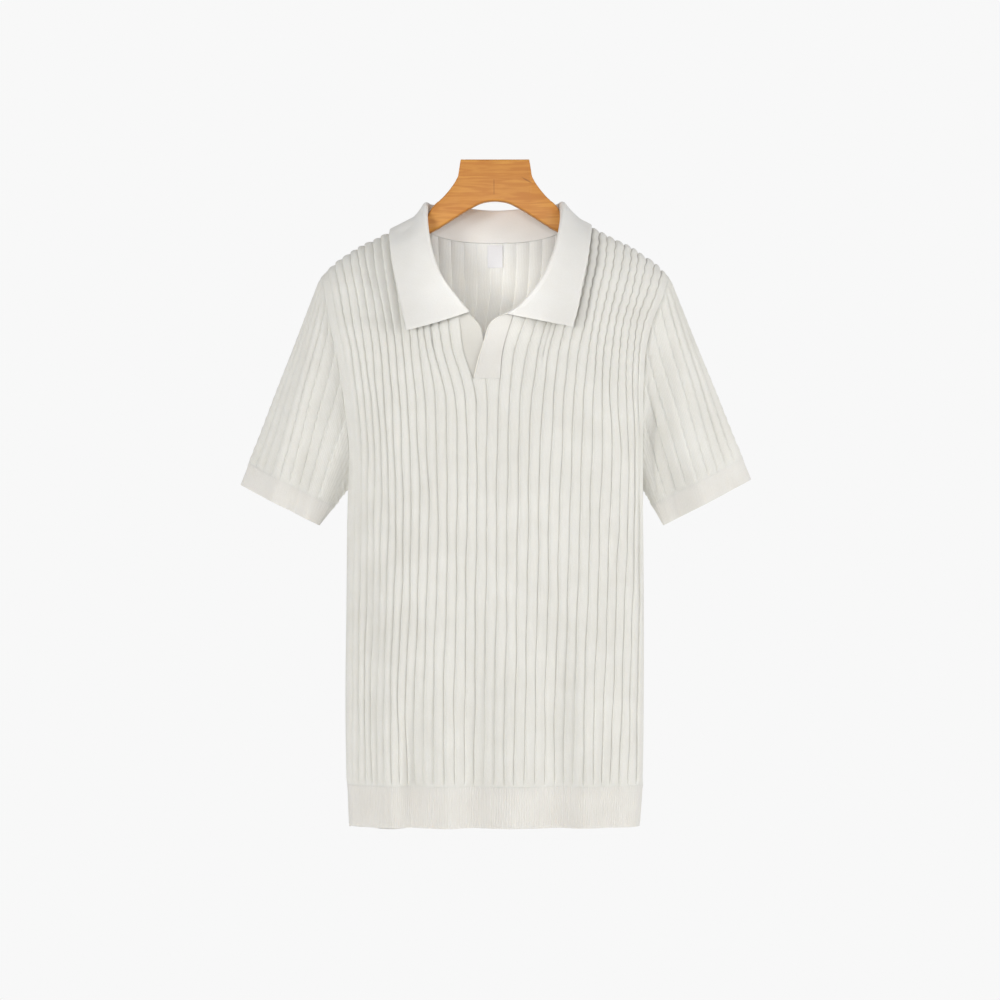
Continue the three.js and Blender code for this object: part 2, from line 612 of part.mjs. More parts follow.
function topClimb(side, r) {
  const half = SHOULDER_GAP / 2 / bodyValue(side, NECK_Z);
  const [leftNeck, rightNeck] = NECK_RIBS[side];
  if (r <= leftNeck || r >= rightNeck) {
    return climbAtAngle(side, r, side === 'front' ? SEAM_ANGLE - half : Math.PI - SEAM_ANGLE - half);
  }
  if (side === 'back') {
    const share = (r - leftNeck) / (rightNeck - leftNeck);
    return climbAtHeight(side, r, tableValue(NECKLINE_BACK, 'share', 'z', share));
  }
  if (r > V_LEFT && r < V_RIGHT) return slotTop(r) - HEM_TOP;
  const left = r <= V_LEFT;
  const share = left ? (V_LEFT - r) / (V_LEFT - leftNeck) : (r - V_RIGHT) / (rightNeck - V_RIGHT);
  return climbAtHeight(side, r, tableValue(left ? NECKLINE_LEFT : NECKLINE_RIGHT, 'share', 'z', share));
}

// How much of the rib's height is left beside the armhole seam
function ribFade(point) {
  if (point.z < ARMPIT_Z) return 1;
  const fromSeam = Math.min(point.x - bodyValue('r0', point.z), bodyValue('r34', point.z) - point.x);
  return THREE.MathUtils.smoothstep(fromSeam, STRIP_START, STRIP_END);
}

function panelGrid(side, columns, offsetAt) {
  const rows = [];
  const armpit = ARMPIT_Z - HEM_TOP;
  for (let i = 0; i <= LOWER_ROWS + UPPER_ROWS; i += 1) {
    rows.push(columns.map((r) => {
      const top = topClimb(side, r);
      const climb = i <= LOWER_ROWS
        ? GAP / 2 + (armpit - GAP / 2) * i / LOWER_ROWS
        : armpit + (top - armpit) * (i - LOWER_ROWS) / UPPER_ROWS;
      const point = bodyPoint(side, r, climb);
      const sign = side === 'front' ? -1 : 1;
      let normal = bodyNormal(side, r, climb);
      const edge = r === 0 ? -1 : r === RIBS ? 1 : 0;
      if (edge !== 0) {
        point.y += sign * GAP / 2 * (armholeDepth(point.z) > 0 ? 0 : 1);
        if (i < LOWER_ROWS) normal = new THREE.Vector3(edge, 0, 0);
        else normal = armholeMitre(edge < 0 ? SLEEVE_LEFT : SLEEVE_RIGHT, seamAround(side, r, climb));
        if (i === LOWER_ROWS) point.y += sign * GAP / 2;
      }
      return moved(point, normal, offsetAt(r, point));
    }));
  }
  return { rows, columns };
}

// The place around the sleeve that meets a climb of the armhole seam
function seamAround(side, r, climb) {
  const top = climbAtAngle(side, r, Math.PI / 2);
  const share = Math.min(1, (top - climb) / (top - (ARMPIT_Z - HEM_TOP)));
  const across = 1 - (1 - Math.abs(share)) ** SLEEVE_SPREAD;
  return (side === 'front') === (share >= 0) ? across : 2 - across;
}

function bodyPanel(side) {
  const extra = side === 'front' ? [...NECK_RIBS.front, ...slotColumns()] : NECK_RIBS.back;
  const rise = (r, point) => ribRise(r) * ribFade(point);
  const outer = panelGrid(side, ribColumns(RIBS, extra), rise);
  const inner = panelGrid(side, plainColumns(RIBS, extra), () => -WALL);
  return wallGeometry(outer, inner, 0);
}

function hemBand(side) {
  const columns = plainColumns(RIBS);
  const heights = [HEM_TOP - GAP / 2, (HEM_TOP + HEM_BOTTOM) / 2, HEM_BOTTOM];
  const sign = side === 'front' ? -1 : 1;
  const grid = (offset) => ({
    columns,
    rows: heights.map((z, i) => columns.map((r) => {
      const point = bodyPoint(side, r, z - HEM_TOP);
      const edge = r === 0 ? -1 : r === RIBS ? 1 : 0;
      const normal = edge === 0 ? bodyNormal(side, r, z - HEM_TOP) : new THREE.Vector3(edge, 0, 0);
      if (edge !== 0) point.y += sign * GAP / 2;
      const drop = Math.exp(-(((point.x - BACK_HEM_DROP_X) / BACK_HEM_DROP_WIDTH) ** 2));
      if (side === 'back') point.z -= BACK_HEM_DROP * drop * i / (heights.length - 1);
      return moved(point, normal, offset);
    })),
  });
  return wallGeometry(grid(BAND_RISE), grid(BAND_RISE - BAND_WALL), 0);
}

// Sleeves and cuffs

function tubeGrid(sleeve, columns, fromEnd, toEnd, rowCount, offsetAt) {
  const rows = [];
  for (let i = 0; i <= rowCount; i += 1) {
    rows.push(columns.map((around) => {
      const length = sleeveLength(sleeve, around);
      const low = fromEnd === null ? 0 : 1 - fromEnd / length;
      const high = 1 - toEnd / length;
      const along = low + (high - low) * i / rowCount;
      const point = sleevePoint(sleeve, around, along);
      const atSeam = fromEnd === null && i === 0;
      const direction = atSeam ? armholeMitre(sleeve, around) : sleeveNormal(sleeve, around, along);
      return moved(point, direction, offsetAt(around, along * length));
    }));
  }
  return { rows, columns };
}

function sleevePiece(sleeve) {
  const fade = (distance) => THREE.MathUtils.smoothstep(distance, SLEEVE_STRIP_START, SLEEVE_STRIP_END);
  const rise = (around, distance) => ribRise(around * SLEEVE_RIBS) * fade(distance);
  const outerColumns = ribColumns(2 * SLEEVE_RIBS).slice(0, -1).map((column) => column / SLEEVE_RIBS);
  const innerColumns = plainColumns(2 * SLEEVE_RIBS).slice(0, -1).map((column) => column / SLEEVE_RIBS);
  const outer = tubeGrid(sleeve, outerColumns, null, CUFF_LENGTH + GAP / 2, SLEEVE_ROWS, rise);
  const inner = tubeGrid(sleeve, innerColumns, null, CUFF_LENGTH + GAP / 2, SLEEVE_ROWS, () => -WALL);
  return wallGeometry(outer, inner, 2);
}

function cuffPiece(sleeve) {
  const columns = Array.from({ length: CUFF_STEPS }, (_, k) => 2 * k / CUFF_STEPS);
  const grid = (offset) => tubeGrid(sleeve, columns, CUFF_LENGTH - GAP / 2, 0, CUFF_ROWS, () => offset);
  return wallGeometry(grid(BAND_RISE), grid(BAND_RISE - BAND_WALL), 2);
}

// Collar
// A point of the neck seam: place is 0 to 1 up the left front, 1 to 2 across the back
// and 2 to 3 down the right front
function seamPlace(place) {
  const side = place > 1 && place < 2 ? 'back' : 'front';
  const [leftNeck, rightNeck] = NECK_RIBS[side];
  let r = leftNeck + (rightNeck - leftNeck) * (place - 1);
  if (place <= 1) r = V_LEFT + (leftNeck - V_LEFT) * place;
  if (place >= 2) r = rightNeck + (V_RIGHT - rightNeck) * (place - 2);
  const climb = topClimb(side, r);
  return { point: bodyPoint(side, r, climb), normal: bodyNormal(side, r, climb) };
}

// Where the collar's stand begins: just past the panels' edge, on the side of the roll
function seamPoint(place, roll) {
  const last = COLLAR[COLLAR.length - 1].seam;
  const { point, normal } = seamPlace(place);
  const before = seamPlace(Math.max(0, place - 0.01)).point;
  const after = seamPlace(Math.min(last, place + 0.01)).point;
  const past = after.sub(before).cross(normal).normalize();
  if (past.dot(roll.clone().sub(point)) < 0) past.negate();
  return moved(moved(point, past, COLLAR_GAP), normal, -WALL / 2);
}

// Moves a point out until it is at least a given distance clear of the body's surface
function clearOfBody(point, distance) {
  const clear = point.clone();
  for (let pass = 0; pass < CLEAR_PASSES; pass += 1) {
    const side = clear.y < 0 ? 'front' : 'back';
    const tall = rollDepth(clear.x);
    const height = clear.z - (ridgeZ(clear.x) - tall);
    const depth = bodyDepth(side, clear.x, Math.min(clear.z, ridgeZ(clear.x)));
    const rise = Math.max(0, height);
    const level = (clear.y / depth) ** 2 + (rise / tall) ** 2 - 1;
    const slope = new THREE.Vector3(0, 2 * clear.y / depth ** 2, 2 * rise / tall ** 2);
    const away = level / slope.length();
    if (away >= distance) break;
    clear.addScaledVector(slope.normalize(), distance - away);
  }
  return clear;
}

function collarSection(step) {
  const stations = COLLAR.map((_, k) => k);
  const at = step * (COLLAR.length - 1) / COLLAR_STEPS;
  const read = (name) => readSmooth(stations, COLLAR.map((row) => row[name]), at);
  const roll = new THREE.Vector3(read('rollX'), read('rollY'), read('rollZ'));
  const seam = seamPoint(Math.min(Math.max(read('seam'), 0), COLLAR[COLLAR.length - 1].seam), roll);
  const edge = new THREE.Vector3(read('edgeX'), read('edgeY'), read('edgeZ'));
  const toSeam = seam.clone().sub(roll).normalize();
  const toEdge = edge.clone().sub(roll).normalize();
  const plane = toSeam.clone().cross(toEdge).normalize();
  const up = toSeam.clone().add(toEdge).normalize().negate();
  const across = plane.clone().cross(up);
  if (across.dot(edge.clone().sub(seam)) < 0) across.negate();
  const centre = moved(roll, up, -ROLL_RADIUS);
  const path = [seam, seam.clone().lerp(moved(centre, across, -ROLL_RADIUS), 0.5)];
  for (let k = 0; k <= ROLL_STEPS; k += 1) {
    const angle = Math.PI * (1 - k / ROLL_STEPS);
    path.push(moved(moved(centre, across, ROLL_RADIUS * Math.cos(angle)), up, ROLL_RADIUS * Math.sin(angle)));
  }
  const leafTop = path[path.length - 1];
  const clearance = RIB_HEIGHT + GAP + COLLAR_WALL / 2 + LEAF_CLEARANCE;
  const fullBow = read('bow');
  for (const share of LEAF_SHARES) {
    const bow = fullBow * Math.sin(Math.PI * share);
    path.push(clearOfBody(moved(leafTop.clone().lerp(edge, share), across, bow), clearance));
  }
  return { path, plane };
}

function collarPiece() {
  const sections = Array.from({ length: COLLAR_STEPS + 1 }, (_, k) => collarSection(k));
  const columns = sections[0].path.map((_, k) => k);
  const centre = (i, j) => {
    const section = sections[Math.min(Math.max(i, 0), COLLAR_STEPS)];
    return section.path[Math.min(Math.max(j, 0), columns.length - 1)];
  };
  const layer = (offset) => ({
    columns,
    rows: sections.map((section, i) => section.path.map((point, j) => {
      const along = centre(i + 1, j).clone().sub(centre(i - 1, j));
      const across = centre(i, j + 1).clone().sub(centre(i, j - 1));
      return moved(point, across.cross(along).normalize(), offset);
    })),
  });
  return wallGeometry(layer(COLLAR_WALL / 2), layer(-COLLAR_WALL / 2), 0);
}

// Bands of the V opening. Their rows lie level with the steps of the slot.
function bandPiece(table, rib, inset, near, far) {
  const columns = [0, 1, 2, 3];
  const inward = rib === V_LEFT ? 1 : -1;
  const top = Math.max(...table.map((row) => row.z));
  const heights = Array.from({ length: SLOT_STEPS + 1 }, (_, k) => {
    return slotTop(rib + inward * SLOT_WIDTH * (1 - k / SLOT_STEPS));
  });
  heights[0] += 2 * GAP;
  heights[SLOT_STEPS] = top;
  const edgeX = (z, k) => ribX('front', rib + inward * SLOT_WIDTH * (1 - k / SLOT_STEPS), z) + inward * inset;
  const rows = heights.map((z, k) => ({ z, seam: edgeX(z, k), inner: tableValue(table, 'z', 'inner', z) }));
  const layer = (offset) => ({
    columns,
    rows: rows.map((row) => columns.map((k) => {
      const x = row.seam + (row.inner - row.seam) * k / 3;
      return moved(bodyAt('front', x, row.z), bodyAtNormal('front', x, row.z), offset);
    })),
  });
  return wallGeometry(layer(near), layer(far), 0);
}

function labelPiece() {
  const columns = [0, 1, 2];
  const layer = (depth) => ({
    columns,
    rows: [LABEL_TOP, (LABEL_TOP + LABEL_BOTTOM) / 2, LABEL_BOTTOM].map((z) => columns.map((k) => {
      const x = LABEL_WIDTH * (k / 2 - 0.5);
      return moved(bodyAt('back', x, z), bodyAtNormal('back', x, z), -depth);
    })),
  });
  return wallGeometry(layer(WALL + GAP), layer(WALL + GAP + LABEL_WALL), 0);
}

// Hanger: a row of rounded sections from tip to tip
function hangerPiece() {
  const stations = [...HANGER.slice(1).reverse().map((row) => ({ ...row, x: -row.x })), ...HANGER];
  const sections = stations.map((row) => {
    const tall = (row.top - row.under) / 2;
    const rounded = Math.min(row.half, tall) * HANGER_ROUND_SHARE;
    const corner = Math.abs(row.x) < HANGER_ROUND_X ? HANGER_CORNER : rounded;
    const points = [];
    for (const [ySign, zSign, first] of [[1, 1, 0], [-1, 1, 1], [-1, -1, 2], [1, -1, 3]]) {
      for (let k = 0; k <= 2; k += 1) {
        const angle = (first + k / 2) * Math.PI / 2;
        points.push(new THREE.Vector3(
          row.x,
          ySign * (row.half - corner) + corner * Math.cos(angle),
          (row.top + row.under) / 2 + zSign * (tall - corner) + corner * Math.sin(angle),
        ));
      }
    }
    return points;
  });
  const count = sections[0].length;
  const points = sections.flat();
  const triangles = [];
  for (let i = 0; i < sections.length - 1; i += 1) {
    for (let j = 0; j < count; j += 1) {
      const a = i * count + j;
      const b = i * count + (j + 1) % count;
      triangles.push([a, b, b + count], [a, b + count, a + count]);
    }
  }
  const last = (sections.length - 1) * count;
  for (let j = 1; j < count - 1; j += 1) {
    triangles.push([0, j + 1, j], [last, last + j, last + j + 1]);
  }
  return solidGeometry(points, triangles);
}

const shirt = new THREE.Group();

function addPiece(name, geometry, material) {
  const mesh = new THREE.Mesh(geometry, material.clone());
  mesh.name = name;
  shirt.add(mesh);
}

addPiece('front_panel', bodyPanel('front'), CLOTH_BODY);
addPiece('back_panel', bodyPanel('back'), CLOTH_BODY);
addPiece('sleeve_left', sleevePiece(SLEEVE_LEFT), CLOTH_BODY);
addPiece('sleeve_right', sleevePiece(SLEEVE_RIGHT), CLOTH_BODY);
addPiece('cuff_left', cuffPiece(SLEEVE_LEFT), CLOTH_PLAIN);
addPiece('cuff_right', cuffPiece(SLEEVE_RIGHT), CLOTH_PLAIN);
addPiece('hem_band_front', hemBand('front'), CLOTH_PLAIN);
addPiece('hem_band_back', hemBand('back'), CLOTH_PLAIN);
addPiece('collar', collarPiece(), CLOTH_PLAIN);
addPiece('neck_band_left', bandPiece(BAND_LEFT, V_LEFT, SLOT_INSET, -GAP, -GAP - BAND_WALL), CLOTH_PLAIN);
addPiece('neck_band_right', bandPiece(BAND_RIGHT, V_RIGHT, SLOT_INSET, BAND_WALL, 0), CLOTH_PLAIN);
addPiece('label', labelPiece(), LABEL_WHITE);
addPiece('hanger', hangerPiece(), WOOD);

export default shirt;
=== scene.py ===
"""A short-sleeved rib-knit polo shirt with an open collar, hanging on a wooden hanger.

Sizes are in millimetres and become metres when a mesh is made. +Z is up, the front faces
-Y, and the origin is the middle of the flat top of the hanger's head.
"""
import math

import bmesh
import bpy
import numpy as np
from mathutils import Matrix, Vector


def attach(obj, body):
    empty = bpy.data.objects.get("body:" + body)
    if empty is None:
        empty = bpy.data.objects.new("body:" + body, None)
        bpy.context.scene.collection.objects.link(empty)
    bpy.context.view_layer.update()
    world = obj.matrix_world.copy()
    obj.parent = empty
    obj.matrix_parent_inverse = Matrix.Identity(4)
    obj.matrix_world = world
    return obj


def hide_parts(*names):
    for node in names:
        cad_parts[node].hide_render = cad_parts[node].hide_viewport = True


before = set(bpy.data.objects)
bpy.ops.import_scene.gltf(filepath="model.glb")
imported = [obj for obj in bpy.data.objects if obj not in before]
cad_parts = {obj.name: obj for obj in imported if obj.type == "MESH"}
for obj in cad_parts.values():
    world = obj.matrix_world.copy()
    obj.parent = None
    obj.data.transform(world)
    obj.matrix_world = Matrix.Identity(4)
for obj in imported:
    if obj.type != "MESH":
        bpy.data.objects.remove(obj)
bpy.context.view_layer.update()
MM = 0.001

# Cloth
WALL = 1.5
RIB_HEIGHT = 2.6
BAND_WALL = 1.9
COLLAR_WALL = 2.0
LABEL_WALL = 0.7
GAP = 0.3
ARMHOLE_GAP = 0.05
SHOULDER_GAP = 0.05
COLLAR_GAP = 0.2
RIBS = 34

# Heights of the body
HEM_BOTTOM = -744
HEM_TOP = -698
ARMPIT_Z = -366
V_BOTTOM = -247
V_LEFT = 16
V_RIGHT = 18
BACK_HEM_DROP = 9
BACK_HEM_DROP_X = -118
BACK_HEM_DROP_WIDTH = 38

# Shoulder ridge
NECK_X = 80
NECK_Z = -63.5
SHOULDER_FALL = 0.505
SHOULDER_ROUND = 0.006
SHOULDER_ROUND_X = 150
ROLL_DEPTH_CENTRE = 180
ROLL_DEPTH_TIP = 105
ROLL_TIP_X = 190
SEAM_ANGLE = math.radians(98)
NECK_POINT_X = 88

# The columns that step down the sides of the V slot, and the bands' distance from them
SLOT_WIDTH = 0.03
SLOT_STEPS = 16
SLOT_INSET = 0.05

# Armhole
ARMHOLE_TOP = -130
ARMHOLE_DEPTH = 25
ARMHOLE_SPREAD = 2.2
ARMHOLE_ROUNDING = 0.8
ARMPIT_CLIMB = ARMPIT_Z - HEM_TOP

# Columns of the body at each height: x of ribs 0, 9, 16, 18, 25, 31 and 34 on the front,
# how far front and back stand out, and how square each side is
BODY_NAMES = ("z", "r0", "r9", "r16", "r18", "r25", "r31", "r34", "front", "back", "left", "right")
BODY_ROWS = (
    (-756, -162.5, -95.5, -23.0, -1.5, 75.0, 135, 160.5, 43, 39, 2.8, 3.6),
    (-698, -164.6, -97.3, -22.8, -1.2, 76.4, 137.5, 164.6, 44, 40, 2.8, 3.6),
    (-602, -165.8, -98.4, -22.0, 0.4, 77.5, 140.8, 165.8, 46, 42, 2.8, 3.8),
    (-491, -164.6, -93.9, -20.8, 1.8, 80.8, 144.1, 165.8, 50, 44, 2.8, 3.6),
    (-381, -163.5, -91.7, -19.6, 2.6, 83.0, 147.4, 164.6, 52, 46, 2.6, 3.2),
    (-326, -161.3, -93.9, -19.4, 2.8, 85.2, 148.5, 163.5, 52, 46, 2.3, 2.6),
    (-270, -166.9, -96.0, -20.5, 4.2, 87.4, 145.2, 163.5, 50, 45, 2.5, 2.7),
    (-247, -170.5, -98.0, -25.0, 5.8, 89.6, 144.7, 164.5, 48, 44, 2.6, 2.8),
    (-215, -175.8, -100.6, -35.0, 8.8, 93.0, 146.2, 166.9, 46, 43, 2.8, 2.9),
    (-182, -183.7, -103.9, -39.4, 18.2, 99.6, 150.5, 174.7, 43, 41, 3.0, 3.0),
    (-149, -189.3, -109.4, -45.0, 30.0, 106.3, 160.9, 188.2, 40, 40, 3.2, 3.2),
    (-118, -196.0, -115.0, -48.0, 38.0, 113.0, 168.3, 196.0, 40, 40, 3.2, 3.2),
    (-82, -199.0, -119.0, -46.0, 44.0, 117.0, 171.7, 199.0, 40, 40, 3.2, 3.2),
)
BODY = {name: np.array([row[k] for row in BODY_ROWS], float) for k, name in enumerate(BODY_NAMES)}
BODY_KNOTS = [name for name in BODY_NAMES if name[0] == "r" and name[1:].isdigit()]
KNOT_RIBS = [int(name[1:]) for name in BODY_KNOTS]

# The back's ribs hang evenly, but spread over the back of the neck and shift to one side
BACK_SPREAD = 0.28
BACK_SHIFT = -5.7
BACK_SPREAD_TOP = -200
BACK_SPREAD_FOOT = -420

# Soft folds of the body: side, where each begins and ends, half width, how far it stands out
FOLDS = (
    ("front", -114, -620, -114, -800, 11, 6),
    ("front", -92, -560, -94, -800, 12, -8),
    ("front", -55, -570, -52, -800, 16, 6),
    ("front", -24, -520, -24, -800, 14, -7),
    ("front", 18, -480, 20, -800, 22, 5),
    ("front", 66, -470, 72, -800, 19, -8),
    ("front", 104, -500, 98, -780, 14, 4),
    ("front", 140, -400, 126, -780, 13, -6),
    ("front", -144, -400, -136, -660, 12, -7),
    ("front", 164, -368, 124, -462, 8, -5),
    ("front", -134, -92, -146, -190, 15, -5),
    ("front", 158, -120, 166, -232, 10, -4),
    ("back", -92, -520, -98, -800, 20, -6),
    ("back", -40, -480, -34, -800, 22, 5),
    ("back", 18, -540, 26, -800, 19, -6),
    ("back", 88, -460, 82, -800, 20, 5),
    ("back", 138, -400, 124, -760, 14, -5),
    ("back", -142, -390, -130, -680, 13, -4),
)
FOLD_GROWS = (0, 0.45)
FOLD_FADES = (0.86, 1)
FOLD_EDGE_POWER = 6

# Neck seams. On the front, share runs from the V opening to the neck point on the
# shoulder, and on the back from one neck point to the other.
NECKLINE_LEFT = ((0, -172), (0.31, -155), (0.58, -128), (0.8, -96), (1, -66))
NECKLINE_RIGHT = ((0, -176), (0.27, -160), (0.53, -136), (0.78, -102), (1, -66))
NECKLINE_BACK = ((0, -66), (0.09, -80), (0.27, -89), (0.5, -91), (0.73, -89), (0.91, -80), (1, -66))

# Sleeves: outer and under corner of the cuff's edge seen from the front, then folds as
# place across the sleeve, width and how far each stands out
SLEEVE_LEFT = {
    "side": -1, "outer": (-284.5, -364), "under": (-197, -409), "depth": 20, "bulge": 7,
    "folds": ((0.42, 0.1, 5), (0.69, 0.09, -9), (0.87, 0.08, 6)), "hollow": 0,
}
SLEEVE_RIGHT = {
    "side": 1, "outer": (286.5, -358), "under": (189, -409), "depth": 20, "bulge": 7,
    "folds": ((0.22, 0.1, -6), (0.55, 0.12, 5), (0.83, 0.09, -11)), "hollow": -8,
}
# The hollow that runs down beside the armhole seam: how far from it, how wide, and over
# which shares of the sleeve it begins and ends
HOLLOW_PLACE = 14
HOLLOW_WIDTH = 10
HOLLOW_START = 5
HOLLOW_BEGINS = (0.25, 0.6)
HOLLOW_ENDS = (0.93, 1)
SLEEVE_RIBS = 9
SLEEVE_SPREAD = 1.7
SLEEVE_ROUNDING = 0.6
SLEEVE_TOP_LENGTH = 250
CUFF_LENGTH = 26
SLEEVE_BACK_FOLD_SHIFT = 0.12

# Collar: place on the neck seam, then the roll and the leaf's outer edge, from the left
# front end round the back of the neck to the right front end
COLLAR_NAMES = ("seam", "rollX", "rollY", "rollZ", "edgeX", "edgeY", "edgeZ", "bow")
COLLAR_ROWS = (
    (0, -29, -48.5, -173, -97, -55, -194, 2.5),
    (0.2, -40, -47, -160, -101, -53, -178, 2.5),
    (0.51, -60, -41, -132, -107.5, -48, -147, 2),
    (0.76, -70.5, -32, -102, -113, -43, -121, 1),
    (0.91, -75.5, -19, -71, -116.5, -30, -98, -2.5),
    (1, -76, 0, -50, -117.5, -2, -79, -5.5),
    (1.113, -70, 20, -49, -112, 27, -98, -2.5),
    (1.29, -42, 34, -50.5, -62, 44, -113, 2),
    (1.5, 0, 37, -54, 0, 47, -118, 2.5),
    (1.71, 42, 34, -51, 62, 44, -113, 2),
    (1.887, 68, 20, -49, 104, 26, -92, -0.5),
    (2, 74.5, 0, -49, 108, -2, -76, -2),
    (2.09, 73, -19, -71, 106, -30, -92, -0.5),
    (2.24, 66, -34, -104, 102.5, -43, -115, 1),
    (2.49, 52, -42, -136, 96.5, -49, -142, 2),
    (2.8, 31, -47.5, -163, 92, -53, -168, 2.5),
    (3, 14, -49, -175.5, 85.5, -55, -190, 2.5),
)
COLLAR = {name: np.array([row[k] for row in COLLAR_ROWS], float) for k, name in enumerate(COLLAR_NAMES)}
COLLAR_STEPS = 176
STAND_SHARES = (0, 0.25, 0.5, 0.75)
ROLL_RADIUS = 2.6
ROLL_STEPS = 8
ROLL_FIRST = len(STAND_SHARES)
ROLL_LAST = ROLL_FIRST + ROLL_STEPS
LEAF_SHARES = (*np.linspace(0.07, 0.93, 14), 0.97, 0.985, 1.0)
LEAF_CLEARANCE = 0.6

# How thin the collar gets over its last steps, at the leaf's edge and at both ends
EDGE_TAPER = (0.97, 0.8, 0.45)
END_TAPER = (0.97, 0.85, 0.45)

# Bands of the V opening: height and the free edge's x
BAND_LEFT = ((-247, -9.8), (-226, -10.6), (-206, -12.0), (-188, -16.5), (-178, -25.0), (-168, -35.0))
BAND_RIGHT = (
    (-247, -23.2), (-226, -18.4), (-206, -12.0), (-188, -6.5), (-180, 1.5), (-175, 12.0), (-170, 18.0),
)
BAND_WIDTH = 27
BAND_TOP_STEPS = 4
BAND_ACROSS = np.array([0, 0.03, 0.12, 0.25, 0.4, 0.55, 0.7, 0.82, 0.9, 0.95, 0.98, 1.0])
BAND_THIN = (0.93, 0.9)
BAND_THINNEST = (0.96, 0.55)
BAND_ROLL = 0.45
BAND_ROLL_PLACE = 0.95
BAND_ROLL_WIDTH = 0.03

# Label at the back neck
LABEL_WIDTH = 17
LABEL_TOP = -93
LABEL_BOTTOM = -118
LABEL_CURL = 0.5
STITCHES = 8
STITCH_HALF = 0.62
STITCH_RADIUS = 0.16
STITCH_FROM_SIDE = 1.2
STITCH_FROM_TOP = 1.3
STITCH_LIFT = np.array([-0.05, 0.12, -0.05])


# Reading the tables
def table_slopes(places, table):
    slopes = np.empty_like(table)
    last = len(places) - 1
    for i in range(last + 1):
        low, high = max(i - 1, 0), min(i + 1, last)
        slopes[i] = (table[high] - table[low]) / (places[high] - places[low])
    return slopes


def smooth_weights(places, at):
    """The row below each value, and the weights of both rows' values and slopes."""
    spot = np.clip(at, places[0], places[-1])
    k = np.clip(np.searchsorted(places, spot, side="left") - 1, 0, len(places) - 2)
    span = places[k + 1] - places[k]
    t = (spot - places[k]) / span
    t2, t3 = t * t, t * t * t
    return k, (2 * t3 - 3 * t2 + 1, 3 * t2 - 2 * t3, (t3 - 2 * t2 + t) * span, (t3 - t2) * span)


def read_smooth(positions, values, at):
    """A smooth value between a table's rows. values is a list, or an array with a row for each."""
    places, table = np.asarray(positions, float), np.asarray(values, float)
    slopes = table_slopes(places, table)
    k, (low, high, slope_low, slope_high) = smooth_weights(places, np.asarray(at, float))

    def pick(array, row):
        return array[row] if table.ndim == 1 else np.take_along_axis(array, row[None], axis=0)[0]

    return (
        low * pick(table, k) + high * pick(table, k + 1)
        + slope_low * pick(slopes, k) + slope_high * pick(slopes, k + 1)
    )


def read_pairs(pairs, at):
    return read_smooth([pair[0] for pair in pairs], [pair[1] for pair in pairs], at)


BODY_SLOPES = {name: table_slopes(BODY["z"], BODY[name]) for name in BODY_NAMES}


def body_values(names, z):
    k, (low, high, slope_low, slope_high) = smooth_weights(BODY["z"], np.asarray(z, float))
    return [
        low * BODY[name][k] + high * BODY[name][k + 1]
        + slope_low * BODY_SLOPES[name][k] + slope_high * BODY_SLOPES[name][k + 1]
        for name in names
    ]


def body_value(name, z):
    return body_values((name,), z)[0]


def smoothstep(value, low, high):
    t = np.clip((value - low) / (high - low), 0, 1)
    return t * t * (3 - 2 * t)


def bell(distance, width):
    return np.exp(-((distance / width) ** 2))


def unit(vectors):
    return vectors / np.maximum(np.linalg.norm(vectors, axis=-1, keepdims=True), 1e-12)


# The body's surface, and how often each search for a point on it is repeated
TURN_ROUNDS = 12
ANGLE_ROUNDS = 16
HALVINGS = 26
NECK_HALVINGS = 24
EDGE_RIB = 0.25


def rib_x(side, r, z):
    if side == "back":
        left, right = body_values(("r0", "r34"), z)
        turn = 2 * math.pi * r / RIBS
        high = smoothstep(z, BACK_SPREAD_FOOT, BACK_SPREAD_TOP)
        share = (turn - BACK_SPREAD * high * np.sin(turn)) / (2 * math.pi)
        return left + (right - left) * share + BACK_SHIFT * high * np.sin(turn / 2)
    r, z = np.broadcast_arrays(r, z)
    return read_smooth(KNOT_RIBS, np.stack(body_values(BODY_KNOTS, z)), r)


def ridge_z(x):
    out = np.abs(x) - NECK_X
    past = np.maximum(0, np.abs(x) - SHOULDER_ROUND_X)
    inner = NECK_Z - SHOULDER_FALL * out * (1 + out / (2 * NECK_X))
    outer = NECK_Z - SHOULDER_FALL * out - SHOULDER_ROUND * past * past
    return np.where(out < 0, inner, outer)


def roll_depth(x):
    share = smoothstep(np.abs(x), NECK_X, ROLL_TIP_X)
    return ROLL_DEPTH_CENTRE + (ROLL_DEPTH_TIP - ROLL_DEPTH_CENTRE) * share


def armhole_depth(z):
    share = (z - ARMPIT_Z) / (ARMHOLE_TOP - ARMPIT_Z)
    return ARMHOLE_DEPTH * np.sin(np.clip(share * ARMHOLE_SPREAD, 0, 1) * math.pi / 2) ** ARMHOLE_ROUNDING


def fold_out(side, x, z):
    out = np.zeros_like(x)
    for fold_side, top_x, top_z, foot_x, foot_z, width, height in FOLDS:
        if fold_side != side:
            continue
        t = np.clip((z - top_z) / (foot_z - top_z), 0, 1)
        centre = top_x + (foot_x - top_x) * t
        rise = smoothstep(t, *FOLD_GROWS) * (1 - smoothstep(t, *FOLD_FADES))
        out += height * rise * bell(x - centre, width)
    return out


def body_depth(side, x, z):
    left, right, square_left, square_right = body_values(("r0", "r34", "left", "right"), z)
    middle = (left + right) / 2
    share = np.clip(np.abs(x - middle) / ((right - left) / 2), 0, 1)
    square = np.where(x < middle, square_left, square_right)
    round_ = np.maximum(0, 1 - share ** square) ** (1 / square)
    edge = armhole_depth(z)
    folds = fold_out(side, x, z) * (1 - share ** FOLD_EDGE_POWER)
    return edge + (body_value(side, z) - edge) * round_ + folds


